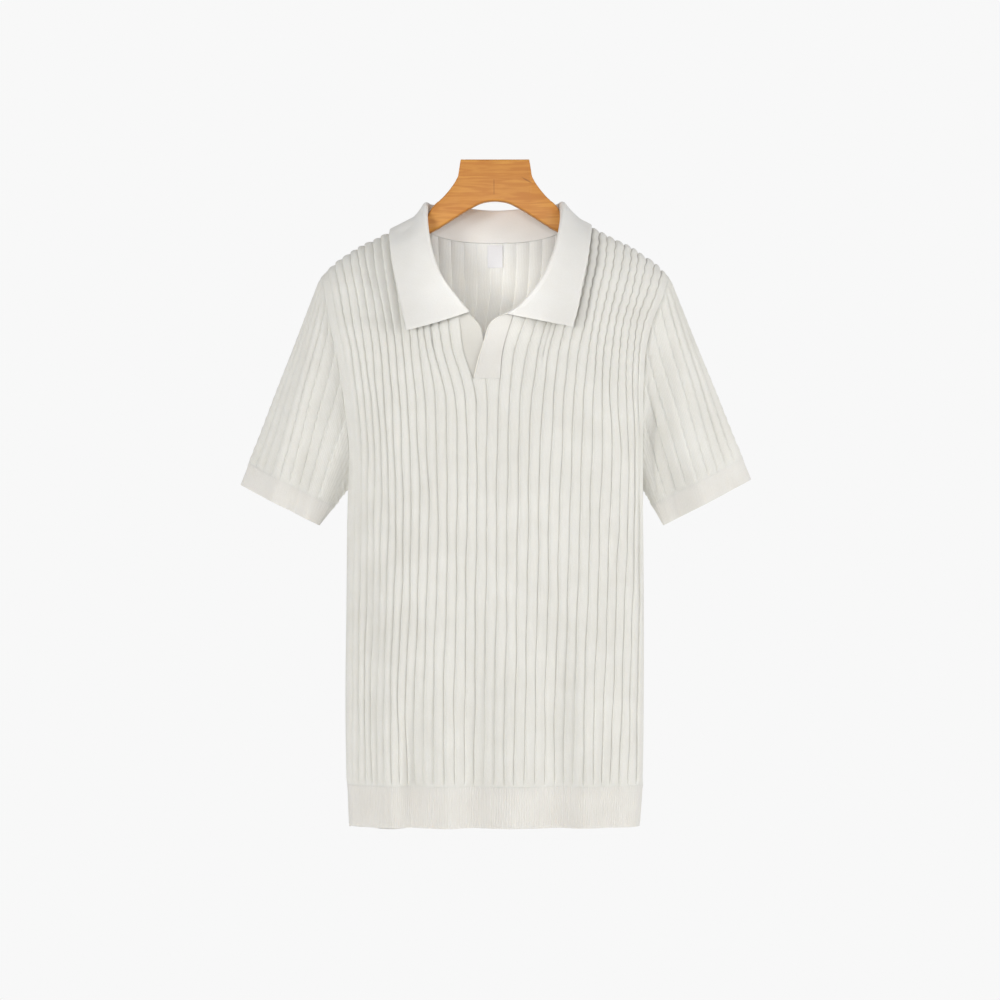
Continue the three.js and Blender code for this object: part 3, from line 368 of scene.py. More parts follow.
def body_point(side, r, climb):
    """A point of the body's outer surface. climb is the height above the hem's top, and past
    the start of the shoulder it is the angle of the turn over the ridge times its depth."""
    r, climb = np.broadcast_arrays(np.asarray(r, float), np.asarray(climb, float))
    z = HEM_TOP + climb
    x = rib_x(side, r, z)
    turn = np.zeros_like(z)
    over = z > ridge_z(x) - roll_depth(x)
    if over.any():
        x_over, rib_over, climb_over = x[over], r[over], climb[over]
        for _ in range(TURN_ROUNDS):
            ridge, depth = ridge_z(x_over), roll_depth(x_over)
            turn_over = (HEM_TOP + climb_over - ridge + depth) / depth
            z_over = ridge - depth * (1 - np.sin(turn_over))
            x_over = rib_x(side, rib_over, z_over)
        x, z, turn = x.copy(), z.copy(), turn.copy()
        x[over], z[over], turn[over] = x_over, z_over, turn_over
    sign = -1 if side == "front" else 1
    return np.stack([x, sign * body_depth(side, x, z) * np.cos(turn), z], axis=-1)


def body_at(side, x, z):
    """The body's outer surface at a given x and height."""
    sine = np.clip(1 - (ridge_z(x) - z) / roll_depth(x), 0, 1)
    sign = -1 if side == "front" else 1
    return np.stack([x, sign * body_depth(side, x, z) * np.sqrt(1 - sine * sine), z], axis=-1)


def normal_of(surface, u, v, du, dv):
    along_u = surface(u + du, v) - surface(u - du, v)
    along_v = surface(u, v + dv) - surface(u, v - dv)
    return unit(np.cross(along_u, along_v))


def body_normal(side, r, climb):
    r, climb = np.broadcast_arrays(np.asarray(r, float), np.asarray(climb, float))
    inside = np.clip(r, EDGE_RIB, RIBS - EDGE_RIB)
    normal = normal_of(lambda u, v: body_point(side, u, v), inside, climb, 0.2, 3)
    return normal if side == "front" else -normal


def body_at_normal(side, x, z):
    normal = normal_of(lambda u, v: body_at(side, u, v), x, z, 2, 2)
    return normal if side == "front" else -normal


def climb_at_angle(side, r, angle):
    r = np.asarray(r, float)
    z = np.full(r.shape, float(NECK_Z))
    for _ in range(ANGLE_ROUNDS):
        x = rib_x(side, r, z)
        z = ridge_z(x) - roll_depth(x) * (1 - np.sin(angle))
    return ridge_z(x) - roll_depth(x) * (1 - angle) - HEM_TOP


def climb_at_height(side, r, z):
    low = np.asarray(z, float) - HEM_TOP - 10
    high = climb_at_angle(side, r, math.pi / 2)
    for _ in range(HALVINGS):
        middle = (low + high) / 2
        below = body_point(side, r, middle)[..., 2] < z
        low, high = np.where(below, middle, low), np.where(below, high, middle)
    return (low + high) / 2


def find_neck_rib(side, sign):
    low = 0.0 if sign < 0 else RIBS / 2
    high = low + RIBS / 2
    for _ in range(NECK_HALVINGS):
        middle = np.array([(low + high) / 2])
        x = body_point(side, middle, climb_at_angle(side, middle, math.pi / 2))[0, 0]
        if x < sign * NECK_POINT_X:
            low = middle[0]
        else:
            high = middle[0]
    return (low + high) / 2


NECK_RIBS = {side: (find_neck_rib(side, -1), find_neck_rib(side, 1)) for side in ("front", "back")}


def slot_top(r):
    share = np.clip(np.minimum(r - V_LEFT, V_RIGHT - r) / SLOT_WIDTH, 0, 1)
    corner = np.where(r < (V_LEFT + V_RIGHT) / 2, NECKLINE_LEFT[0][1], NECKLINE_RIGHT[0][1])
    return corner + (V_BOTTOM - corner) * share


def top_climb(side, r):
    """Where each rib ends: at the shoulder seam, the neck seam or the foot of the V."""
    r = np.asarray(r, float)
    half = SHOULDER_GAP / 2 / float(body_value(side, NECK_Z))
    left_neck, right_neck = NECK_RIBS[side]
    angle = SEAM_ANGLE - half if side == "front" else math.pi - SEAM_ANGLE - half
    shoulder = climb_at_angle(side, r, angle)
    if side == "back":
        share = np.clip((r - left_neck) / (right_neck - left_neck), 0, 1)
        neck = climb_at_height(side, r, read_pairs(NECKLINE_BACK, share))
        return np.where((r <= left_neck) | (r >= right_neck), shoulder, neck)
    left_share = np.clip((V_LEFT - r) / (V_LEFT - left_neck), 0, 1)
    right_share = np.clip((r - V_RIGHT) / (right_neck - V_RIGHT), 0, 1)
    left_level, right_level = read_pairs(NECKLINE_LEFT, left_share), read_pairs(NECKLINE_RIGHT, right_share)
    neck = climb_at_height(side, r, np.where(r <= V_LEFT, left_level, right_level))
    neck = np.where((r > V_LEFT) & (r < V_RIGHT), slot_top(r) - HEM_TOP, neck)
    return np.where((r <= left_neck) | (r >= right_neck), shoulder, neck)


# Meshes: a thin wall from two grids of points, closed along its edges
def edge_strip(faces, first, second):
    """Triangles between two runs of (vertex, place) pairs that meet along an edge."""
    a = b = 0
    while a < len(first) - 1 or b < len(second) - 1:
        next_a = first[a + 1][1] if a < len(first) - 1 else math.inf
        next_b = second[b + 1][1] if b < len(second) - 1 else math.inf
        if next_a <= next_b:
            faces.append((first[a][0], second[b][0], first[a + 1][0]))
            a += 1
        else:
            faces.append((first[a][0], second[b][0], second[b + 1][0]))
            b += 1


def grid_ids(points, start=0):
    rows, columns = points.shape[:2]
    return start + np.arange(rows * columns).reshape(rows, columns)


def grid_quads(ids, closed):
    around = np.concatenate([ids, ids[:, :1]], axis=1) if closed else ids
    return np.stack([around[:-1, :-1], around[:-1, 1:], around[1:, 1:], around[1:, :-1]], axis=-1)


def face_list(quads):
    return [tuple(quad) for quad in quads.reshape(-1, 4).tolist()]


def capped_tube(points):
    """The faces of a tube of rings, with a fan over each end."""
    ids = grid_ids(points)
    faces = face_list(grid_quads(ids, True))
    for loop in (ids[0].tolist()[::-1], ids[-1].tolist()):
        faces += [(loop[0], loop[k], loop[k + 1]) for k in range(1, len(loop) - 1)]
    return faces


def wall_mesh(name, outer, inner, period=0.0):
    """outer and inner are (points, columns, uv). period is the columns' sum round a tube."""
    vertices, uvs, faces, shifts, skins = [], [], [], [], []
    start = 0
    for layer, (points, columns, uv) in enumerate((outer, inner)):
        ids = grid_ids(points, start)
        start += ids.size
        vertices.append(points.reshape(-1, 3))
        uvs.append(uv.reshape(-1, 2))
        quads = grid_quads(ids, period)
        shift = np.zeros(quads.shape)
        if period:
            shift[:, -1, 1:3] = 1
        if layer == 1:
            quads, shift = quads[..., ::-1], shift[..., ::-1]
        faces += face_list(quads)
        shifts += shift.reshape(-1).tolist()
        skins.append((ids, list(columns)))
    edges = []

    def run(skin, row=None, column=None):
        ids, columns = skin
        if row is None:
            return list(zip(ids[:, column].tolist(), range(len(ids))))
        pairs = list(zip(ids[row].tolist(), columns))
        return pairs + [(pairs[0][0], pairs[0][1] + period)] if period else pairs

    edge_strip(edges, run(skins[0], row=0), run(skins[1], row=0))
    edge_strip(edges, run(skins[1], row=-1), run(skins[0], row=-1))
    if not period:
        edge_strip(edges, run(skins[1], column=0), run(skins[0], column=0))
        edge_strip(edges, run(skins[0], column=-1), run(skins[1], column=-1))
    faces += edges
    shifts += [0] * (3 * len(edges))
    return make_object(name, np.concatenate(vertices), faces, np.concatenate(uvs), shifts, period)


def make_object(name, vertices, faces, uvs=None, shifts=None, period=0.0, sharp=55):
    mesh = bpy.data.meshes.new(name)
    mesh.from_pydata((vertices * MM).tolist(), [], faces)
    if uvs is not None:
        loops = np.zeros(len(mesh.loops), dtype=np.int64)
        mesh.loops.foreach_get("vertex_index", loops)
        per_loop = uvs[loops].copy()
        if period:
            per_loop[:, 0] += np.asarray(shifts) * period
        layer = mesh.uv_layers.new(name="cloth")
        layer.data.foreach_set("uv", per_loop.astype(np.float32).ravel())
    if signed_volume(vertices, faces) < 0:
        mesh.flip_normals()
    mesh.shade_smooth()
    mesh.set_sharp_from_angle(angle=math.radians(sharp))
    mesh.update()
    return add_object(name, mesh)


def add_object(name, data):
    made = bpy.data.objects.new(name, data)
    bpy.context.scene.collection.objects.link(made)
    return made


def signed_volume(vertices, faces):
    total = 0.0
    quads = np.array([face for face in faces if len(face) == 4], dtype=np.int64).reshape(-1, 4)
    thirds = np.array([face for face in faces if len(face) == 3], dtype=np.int64).reshape(-1, 3)
    for corners in (quads[:, [0, 1, 2]], quads[:, [0, 2, 3]], thirds):
        a, b, c = (vertices[corners[:, k]] for k in range(3))
        total += float(np.einsum("ij,ij->i", a, np.cross(b, c)).sum())
    return total


# Ribs: places of the points across one, on the outside and on the plain inside
RIB_PROFILE = (0, 0.03, 0.08, 0.18, 0.34, 0.52, 0.7, 0.85, 0.94)
INSIDE_PROFILE = (0, 0.08, 0.92)
INSIDE_GROOVE = 0.9
INSIDE_GROOVE_WIDTH = 0.08
RIB_SQUARE = 2.1
RIB_ROUND = 0.8
RIB_LEAN = 0.62
STRIP_LEFT = (6, 15)
STRIP_RIGHT = (2, 8)
STRIP_RISE = 1.5


def profile_columns(ribs, profile, extra=()):
    return np.unique(np.array([k + share for k in range(ribs) for share in profile] + [ribs, *extra]))


def rib_rise(r):
    """Height of the ribs. Each leans: its crest is nearer its left side."""
    share = np.abs(2 * (r - np.floor(r)) ** RIB_LEAN - 1)
    return RIB_HEIGHT * np.maximum(0, 1 - share ** RIB_SQUARE) ** RIB_ROUND


def inside_groove(r):
    share = r - np.floor(r)
    return INSIDE_GROOVE * np.clip(1 - np.minimum(share, 1 - share) / INSIDE_GROOVE_WIDTH, 0, 1)


# How the ribs wander: waves as size, length and turn from rib to rib, and the scallops of
# the knit, which grow over the chest and the shoulders
BODY_WAVES = ((0.45, 31, 1.3), (0.3, 13.7, 2.1))
SLEEVE_WAVES = ((0.035, 1.9, 9), (0.03, 17, 5))
SCALLOP = (1, 1.9, 0.8)
SCALLOP_SIZES = (0.25, 0.6)
SCALLOP_HEIGHTS = (-300, -180)
SCALLOP_SIDES = (40, 140)


def waves(rows, distance, place):
    return sum(size * np.sin(distance / length + turn * place) for size, length, turn in rows)


def rib_wander(r, x, z):
    least, most = SCALLOP_SIZES
    size = least + (most - least) * smoothstep(x, *SCALLOP_SIDES)
    return waves(BODY_WAVES, z, r) + smoothstep(z, *SCALLOP_HEIGHTS) * size * waves([SCALLOP], z, r)


# Body panels and hem bands
LOWER_ROWS = 78
UPPER_ROWS = 108
FINE_PER_RIB = 4
SEAM_GAP = 0.04
HEM_FINE = 0.5
CUFF_FINE = 0.16
BAND_START = 1.15
BAND_RISE = 0.6
BAND_REACH = 7
BAND_INSIDE = 0.4
RIB_PITCH = 11.8
HEM_ROWS = 19
HEM_THIN = (0.93, 1)
FINE_ROUNDING = 0.8

# Where the ribs don't wander: near the side seams and beside the V's slot, in ribs, from
# this far below the V. And the heights over which the seam strips beside the armholes begin.
CALM_SIDE = (0, 1.5)
CALM_SLOT = (1, 2.2)
CALM_BELOW_V = 25
STRIP_HEIGHTS = (ARMPIT_Z - 45, ARMPIT_Z + 5)


def seam_around(side, r, climb):
    top = climb_at_angle(side, r, math.pi / 2)
    share = np.minimum(1, (top - climb) / (top - ARMPIT_CLIMB))
    across = 1 - (1 - np.abs(share)) ** SLEEVE_SPREAD
    return np.where((side == "front") == (share >= 0), across, 2 - across)


def panel_layer(side, columns, offset_at, wander):
    tops = top_climb(side, columns)
    lower = np.concatenate([[SEAM_GAP / 2, 1, 2], np.linspace(3, ARMPIT_CLIMB, LOWER_ROWS - 2)])
    upper = np.linspace(0, 1, UPPER_ROWS + 1)[1:]
    climb = np.concatenate([
        np.repeat(lower[:, None], len(columns), axis=1),
        ARMPIT_CLIMB + (tops[None, :] - ARMPIT_CLIMB) * upper[:, None],
    ])
    r = np.repeat(columns[None, :], len(climb), axis=0)
    point = body_point(side, r, climb)
    normal = body_normal(side, r, climb)
    sign = -1 if side == "front" else 1
    for column, edge, sleeve in ((0, -1, SLEEVE_LEFT), (-1, 1, SLEEVE_RIGHT)):
        normal[:LOWER_ROWS, column] = (edge, 0, 0)
        point[:LOWER_ROWS + 1, column, 1] += sign * GAP / 4
        rib = np.full(UPPER_ROWS + 1, columns[column])
        around = seam_around(side, rib, climb[LOWER_ROWS:, column])
        normal[LOWER_ROWS:, column] = armhole_mitre(sleeve, around)
    if wander:
        shift = rib_wander(r, point[..., 0], point[..., 2])
        edge_share = smoothstep(np.minimum(r, RIBS - r), *CALM_SIDE)
        slot_share = smoothstep(np.abs(r - (V_LEFT + V_RIGHT) / 2), *CALM_SLOT)
        calm = np.where(point[..., 2] > V_BOTTOM - CALM_BELOW_V, slot_share, 1)
        point[..., 0] += shift * edge_share * calm
    uv = np.stack([r * RIB_PITCH, climb], axis=-1)
    return point + normal * offset_at(side, r, point)[..., None], columns, uv


def body_rise(side, r, point):
    fade = rib_fade(side, point)
    return seam_blend(rib_rise(r), point[..., 2] - HEM_TOP) * fade + STRIP_RISE * (1 - fade)


def rib_fade(side, point):
    left, right = body_values(("r0", "r34"), point[..., 2])
    fade = smoothstep(point[..., 0] - left, *STRIP_LEFT) * smoothstep(right - point[..., 0], *STRIP_RIGHT)
    return 1 - smoothstep(point[..., 2], *STRIP_HEIGHTS) * (1 - fade)


def body_inside(side, r, point):
    return inside_groove(r) - WALL


def body_panel(side):
    steps = SLOT_WIDTH * np.arange(1, SLOT_STEPS + 1) / SLOT_STEPS
    extra = list(NECK_RIBS[side])
    if side == "front":
        extra += [*(V_LEFT + steps), *(V_RIGHT - steps)]
    outer = panel_layer(side, profile_columns(RIBS, RIB_PROFILE, extra), body_rise, True)
    inner = panel_layer(side, profile_columns(RIBS, INSIDE_PROFILE, extra), body_inside, False)
    return wall_mesh(f"cloth_{side}", outer, inner)


def seam_blend(rise, distance):
    """Ribs that run out into the smooth edge of a band."""
    share = smoothstep(distance, 0, BAND_REACH)
    return BAND_START + (rise - BAND_START) * share


def band_swell(distance):
    return BAND_RISE + (BAND_START - BAND_RISE) * (1 - smoothstep(distance, 0, BAND_REACH))


def fine_rise(r, height):
    return height * (np.abs(np.sin(math.pi * r)) ** FINE_ROUNDING - 0.5)


def hem_rise(r, down):
    return band_swell(down) + fine_rise(r * FINE_PER_RIB, HEM_FINE)


def hem_inside(r, down):
    return np.full_like(r, BAND_INSIDE - BAND_WALL)


def hem_band(side):
    sign = -1 if side == "front" else 1
    heights = np.linspace(HEM_TOP - SEAM_GAP / 2, HEM_BOTTOM, HEM_ROWS)

    def layer(columns_per_rib, offset_at):
        columns = np.linspace(0, RIBS, RIBS * columns_per_rib + 1)
        r, z = np.meshgrid(columns, heights)
        point = body_point(side, r, z - HEM_TOP)
        normal = body_normal(side, r, z - HEM_TOP)
        for column, edge in ((0, -1), (-1, 1)):
            normal[:, column] = (edge, 0, 0)
            point[:, column, 1] += sign * GAP / 4
        share = (HEM_TOP - z) / (HEM_TOP - HEM_BOTTOM)
        if side == "back":
            drop = bell(point[..., 0] - BACK_HEM_DROP_X, BACK_HEM_DROP_WIDTH)
            point[..., 2] -= BACK_HEM_DROP * share * drop
        ends = 1 - 0.5 * smoothstep(share, *HEM_THIN)
        uv = np.stack([r * RIB_PITCH, z], axis=-1)
        return point + normal * (offset_at(r, HEM_TOP - z) * ends)[..., None], columns, uv

    return wall_mesh(f"hem_{side}", layer(4 * FINE_PER_RIB, hem_rise), layer(2 * FINE_PER_RIB, hem_inside))


# Sleeves and cuffs. around runs from 0 at the top over the front to 1 under the arm, and
# over the back to 2. along runs from 0 at the armhole to 1 at the cuff's edge.
MITRE_FOOT = 0.98
MITRE_LONGEST = 1.5
SLEEVE_END_SHARE = 0.04


def fold_in_two(around):
    """Which places round a sleeve lie on the back, and the share across of each."""
    turn = np.mod(around, 2)
    return turn > 1, np.where(turn > 1, 2 - turn, turn)


def armhole_place(sleeve, side, across):
    """The body's rib and climb where the armhole has gone that far across the sleeve."""
    share = 1 - (1 - across) ** (1 / SLEEVE_SPREAD)
    rib = np.full(np.shape(share), 0.0 if sleeve["side"] < 0 else float(RIBS))
    top = climb_at_angle(side, rib, math.pi / 2)
    return rib, top + (ARMPIT_CLIMB - top) * share


def sleeve_point(sleeve, around, along):
    around, along = np.broadcast_arrays(np.asarray(around, float), np.asarray(along, float))
    back, across = fold_in_two(around)
    sign = np.where(back, 1.0, -1.0)
    pairs = np.round(np.stack([across.ravel(), back.ravel()], axis=1), 9)
    unique, index = np.unique(pairs, axis=0, return_inverse=True)
    front_start, back_start = (
        body_point(side, *armhole_place(sleeve, side, unique[:, 0])) for side in ("front", "back")
    )
    starts = np.where(unique[:, 1:2] > 0.5, back_start, front_start)
    start = starts[index.ravel()].reshape(*across.shape, 3)
    swell = np.sin(math.pi * across)
    depth = sleeve["depth"] * swell ** SLEEVE_ROUNDING
    shift = np.where(back, SLEEVE_BACK_FOLD_SHIFT, 0)
    for place, width, out in sleeve["folds"]:
        depth = depth + out * bell(across - place + shift, width) * swell
    end = np.stack([
        sleeve["outer"][0] + (sleeve["under"][0] - sleeve["outer"][0]) * across,
        sign * depth,
        sleeve["outer"][1] + (sleeve["under"][1] - sleeve["outer"][1]) * across,
    ], axis=-1)
    length = np.linalg.norm(end - start, axis=-1)
    t = ARMHOLE_GAP / length + (1 - ARMHOLE_GAP / length) * along
    point = start + (end - start) * t[..., None]
    point[..., 1] += sign * sleeve["bulge"] * np.sin(math.pi * along) * swell * (length / SLEEVE_TOP_LENGTH)
    from_seam = np.abs(point[..., 0] - start[..., 0])
    hollow = bell(from_seam - HOLLOW_PLACE, HOLLOW_WIDTH) * smoothstep(from_seam, 0, HOLLOW_START)
    begun, left = smoothstep(across, *HOLLOW_BEGINS), 1 - smoothstep(across, *HOLLOW_ENDS)
    point[..., 1] += sign * sleeve["hollow"] * hollow * begun * left
    return point


def sleeve_normal(sleeve, around, along):
    safe = np.clip(along, SLEEVE_END_SHARE, 1 - SLEEVE_END_SHARE)
    return normal_of(lambda u, v: sleeve_point(sleeve, u, v), around, safe, 0.03, 0.03) * sleeve["side"]


def armhole_mitre(sleeve, around):
    """The way that both cloths stand out at their seam, between the two normals."""
    back, across = fold_in_two(around)
    front_normal, back_normal = (
        body_normal(side, *armhole_place(sleeve, side, across)) for side in ("front", "back")
    )
    body = np.where(back[..., None], back_normal, front_normal)
    body = np.where((across > MITRE_FOOT)[..., None], np.array([sleeve["side"], 0.0, 0.0]), body)
    cloth = sleeve_normal(sleeve, around, np.zeros_like(across))
    mitre = unit(body + cloth)
    reach = np.minimum(MITRE_LONGEST, 1 / np.maximum(0.1, np.einsum("...i,...i->...", mitre, cloth)))
    return mitre * reach[..., None]


def tube_layer(sleeve, columns, from_end, to_end, row_count, offset_at):
    around = np.repeat(columns[None, :], row_count + 1, axis=0)
    first = sleeve_point(sleeve, columns, np.zeros(len(columns)))
    last = sleeve_point(sleeve, columns, np.ones(len(columns)))
    length = np.linalg.norm(last - first, axis=-1)
    low = np.zeros(len(columns)) if from_end is None else 1 - from_end / length
    high = 1 - to_end / length
    share = np.linspace(0, 1, row_count + 1)[:, None]
    along = low + (high - low) * share
    point = sleeve_point(sleeve, around, along)
    normal = sleeve_normal(sleeve, around, along)
    if from_end is None:
        normal[0] = armhole_mitre(sleeve, columns)
    distance = along * length
    uv = np.stack([around * SLEEVE_RIBS * RIB_PITCH, -distance], axis=-1)
    return point + normal * offset_at(around, distance, length)[..., None], columns, uv


SLEEVE_ROWS = 84
STRIP_ARMHOLE = (1, 7)
CUFF_RIBS = 72
CUFF_ROWS = 14


def sleeve_rise(around, distance, length):
    place = around * SLEEVE_RIBS + waves(SLEEVE_WAVES, distance, around)
    fade = smoothstep(distance, *STRIP_ARMHOLE)
    rise = rib_rise(place) * fade + STRIP_RISE * (1 - fade)
    return seam_blend(rise, length - CUFF_LENGTH - distance)


def sleeve_inside(around, distance, length):
    return inside_groove(around * SLEEVE_RIBS) - WALL


def sleeve_piece(sleeve, name):
    layers = []
    for profile, offset_at in ((RIB_PROFILE, sleeve_rise), (INSIDE_PROFILE, sleeve_inside)):
        columns = profile_columns(2 * SLEEVE_RIBS, profile)[:-1] / SLEEVE_RIBS
        layers.append(tube_layer(sleeve, columns, None, CUFF_LENGTH + SEAM_GAP / 2, SLEEVE_ROWS, offset_at))
    return wall_mesh(name, *layers, 2.0)


def cuff_rise(around, distance, length):
    return band_swell(distance - distance[:1]) + fine_rise(around * CUFF_RIBS / 2, CUFF_FINE)


def cuff_inside(around, distance, length):
    return np.full_like(around, BAND_INSIDE - BAND_WALL)


def cuff_piece(sleeve, name):
    layers = []
    for points, offset_at in ((CUFF_RIBS * 4, cuff_rise), (CUFF_RIBS * 2, cuff_inside)):
        columns = 2 * np.arange(points) / points
        layers.append(tube_layer(sleeve, columns, CUFF_LENGTH - SEAM_GAP / 2, 0, CUFF_ROWS, offset_at))
    return wall_mesh(name, *layers, 2.0)


# Collar
CLEAR_ROUNDS = 6


def seam_place(place):
    place = np.asarray(place, float)
    points, normals = np.zeros((len(place), 3)), np.zeros((len(place), 3))
    back = (place > 1) & (place < 2)
    for side, mask in (("front", ~back), ("back", back)):
        left_neck, right_neck = NECK_RIBS[side]
        spot = place[mask]
        r = left_neck + (right_neck - left_neck) * (spot - 1)
        if side == "front":
            left = V_LEFT + (left_neck - V_LEFT) * spot
            right = right_neck + (V_RIGHT - right_neck) * (spot - 2)
            r = np.where(spot <= 1, left, right)
        climb = top_climb(side, r)
        points[mask] = body_point(side, r, climb)
        normals[mask] = body_normal(side, r, climb)
    return points, normals


def seam_point(place, roll):
    last = COLLAR["seam"][-1]
    point, normal = seam_place(place)
    before, _ = seam_place(np.maximum(0, place - 0.01))
    after, _ = seam_place(np.minimum(last, place + 0.01))
    past = unit(np.cross(after - before, normal))
    facing = np.einsum("ij,ij->i", past, roll - point)
    past = np.where(facing[:, None] < 0, -past, past)
    return point + past * COLLAR_GAP - normal * WALL / 2


def clear_of_body(point, distance):
    clear = point.copy()
    for _ in range(CLEAR_ROUNDS):
        front = clear[..., 1] < 0
        ridge, tall = ridge_z(clear[..., 0]), roll_depth(clear[..., 0])
        level_z = np.minimum(clear[..., 2], ridge)
        front_depth, back_depth = (body_depth(side, clear[..., 0], level_z) for side in ("front", "back"))
        depth = np.where(front, front_depth, back_depth)
        rise = np.maximum(0, clear[..., 2] - (ridge - tall))
        level = (clear[..., 1] / depth) ** 2 + (rise / tall) ** 2 - 1
        slope_y, slope_z = 2 * clear[..., 1] / depth ** 2, 2 * rise / tall ** 2
        slope = np.stack([np.zeros_like(depth), slope_y, slope_z], axis=-1)
        size = np.linalg.norm(slope, axis=-1)
        missing = np.maximum(0, distance - level / size)
        clear = clear + slope / size[..., None] * missing[..., None]
    return clear


def collar_sections():
    """The middle surface of the collar: a path from the neck seam over the roll to the leaf's edge."""
    stations = np.arange(len(COLLAR_ROWS))
    at = np.linspace(0, len(COLLAR_ROWS) - 1, COLLAR_STEPS + 1)
    read = {name: read_smooth(stations, COLLAR[name], at) for name in COLLAR_NAMES}
    roll = np.stack([read["rollX"], read["rollY"], read["rollZ"]], axis=-1)
    edge = np.stack([read["edgeX"], read["edgeY"], read["edgeZ"]], axis=-1)
    seam = seam_point(np.clip(read["seam"], 0, COLLAR["seam"][-1]), roll)
    to_seam, to_edge = unit(seam - roll), unit(edge - roll)
    plane = unit(np.cross(to_seam, to_edge))
    up = -unit(to_seam + to_edge)
    across = np.cross(plane, up)
    facing = np.einsum("ij,ij->i", across, edge - seam)
    across = np.where(facing[:, None] < 0, -across, across)
    centre = roll - up * ROLL_RADIUS
    stand_top = centre - across * ROLL_RADIUS
    path = [seam + (stand_top - seam) * share for share in STAND_SHARES]
    for k in range(ROLL_STEPS + 1):
        angle = math.pi * (1 - k / ROLL_STEPS)
        path.append(centre + across * ROLL_RADIUS * math.cos(angle) + up * ROLL_RADIUS * math.sin(angle))
    leaf_top = path[-1]
    clearance = RIB_HEIGHT + COLLAR_WALL / 2 + LEAF_CLEARANCE
    for share in LEAF_SHARES:
        bow = read["bow"][:, None] * math.sin(math.pi * share)
        path.append(clear_of_body(leaf_top + (edge - leaf_top) * share + across * bow, clearance))
    return np.stack(path, axis=1)


def sheet_normals(points):
    along = np.gradient(points, axis=0)
    across = np.gradient(points, axis=1)
    return unit(np.cross(across, along))


def collar_piece():
    middle = collar_sections()
    normal = sheet_normals(middle)
    count = middle.shape[1]
    half = np.full(count, COLLAR_WALL / 2)
    half[-3:] = COLLAR_WALL / 2 * np.array(EDGE_TAPER)
    ends = np.ones(len(middle))
    ends[:3] = END_TAPER[::-1]
    ends[-3:] = END_TAPER
    thick = half[None, :, None] * ends[:, None, None]
    lengths = np.linalg.norm(np.diff(middle, axis=1), axis=-1)
    v = np.concatenate([np.zeros((len(middle), 1)), np.cumsum(lengths, axis=1)], axis=1)
    run = np.linalg.norm(np.diff(middle[:, ROLL_LAST], axis=0), axis=-1)
    u = np.concatenate([[0], np.cumsum(run)])
    uv = np.stack([np.repeat(u[:, None], count, axis=1), v], axis=-1)
    columns = np.arange(count)
    return wall_mesh("collar_leaf", *((middle + normal * thick * way, columns, uv) for way in (1, -1)))


# Bands of the V opening
def band_piece(name, table, rib, near, far):
    inward = 1 if rib == V_LEFT else -1
    top = max(height for height, _ in table)
    share = 1 - np.arange(SLOT_STEPS + 1) / SLOT_STEPS
    ribs = rib + inward * SLOT_WIDTH * share
    heights = slot_top(ribs)
    heights[0] += SLOT_INSET
    above = np.arange(1, BAND_TOP_STEPS + 1) / BAND_TOP_STEPS
    heights = np.concatenate([heights, heights[-1] + (top - heights[-1]) * above])
    ribs = np.concatenate([ribs, np.full(BAND_TOP_STEPS, ribs[-1])])
    seam = rib_x("front", ribs, heights) + inward * SLOT_INSET
    free = read_pairs(table, heights)
    across = BAND_ACROSS
    x = seam[:, None] + (free - seam)[:, None] * across
    z = np.repeat(heights[:, None], len(across), axis=1)
    point, normal = body_at("front", x, z), body_at_normal("front", x, z)
    middle = (near + far) / 2
    edge = np.ones(len(across))
    for start, left in (BAND_THIN, BAND_THINNEST):
        edge[across > start] = left
    roll = BAND_ROLL * bell(across - BAND_ROLL_PLACE, BAND_ROLL_WIDTH)
    uv = np.stack([across[None, :] * BAND_WIDTH + 0 * x, z], axis=-1)
    outer = point + normal * (middle + (near - middle) * edge + roll)[None, :, None]
    inner = point + normal * (middle + (far - middle) * edge)[None, :, None]
    return wall_mesh(name, (outer, across, uv), (inner, across, uv))


# Welt and stitches
def round_tube(path, radius, sides=8, step=1.2):
    """Points and faces of a round tube along a path, closed at both ends."""
    lengths = np.concatenate([[0], np.cumsum(np.linalg.norm(np.diff(path, axis=0), axis=-1))])
    at = np.linspace(0, lengths[-1], max(3, int(lengths[-1] / step)))
    spine = np.stack([np.interp(at, lengths, path[:, k]) for k in range(3)], axis=-1)
    for _ in range(3):
        spine[1:-1] = (spine[:-2] + 2 * spine[1:-1] + spine[2:]) / 4
    along = unit(np.gradient(spine, axis=0))
    side = unit(np.cross(along, np.array([0.31, 0.9, 0.3])))
    up = np.cross(side, along)
    angles = 2 * math.pi * np.arange(sides) / sides
    ends = np.ones(len(spine))
    ends[0] = ends[-1] = 0.5
    ring = side[:, None] * np.cos(angles)[None, :, None] + up[:, None] * np.sin(angles)[None, :, None]
    points = spine[:, None] + ring * (radius * ends)[:, None, None]
    return points.reshape(-1, 3), capped_tube(points)


def add_tubes(name, paths, radius):
    vertices, faces = [], []
    for path in paths:
        points, part = round_tube(np.asarray(path, float), radius)
        start = sum(len(block) for block in vertices)
        vertices.append(points)
        faces += [tuple(start + corner for corner in face) for face in part]
    return make_object(name, np.concatenate(vertices), faces)


WELT_RADIUS = 0.8
WELT_FIRST = 119
WELT_RING = 6


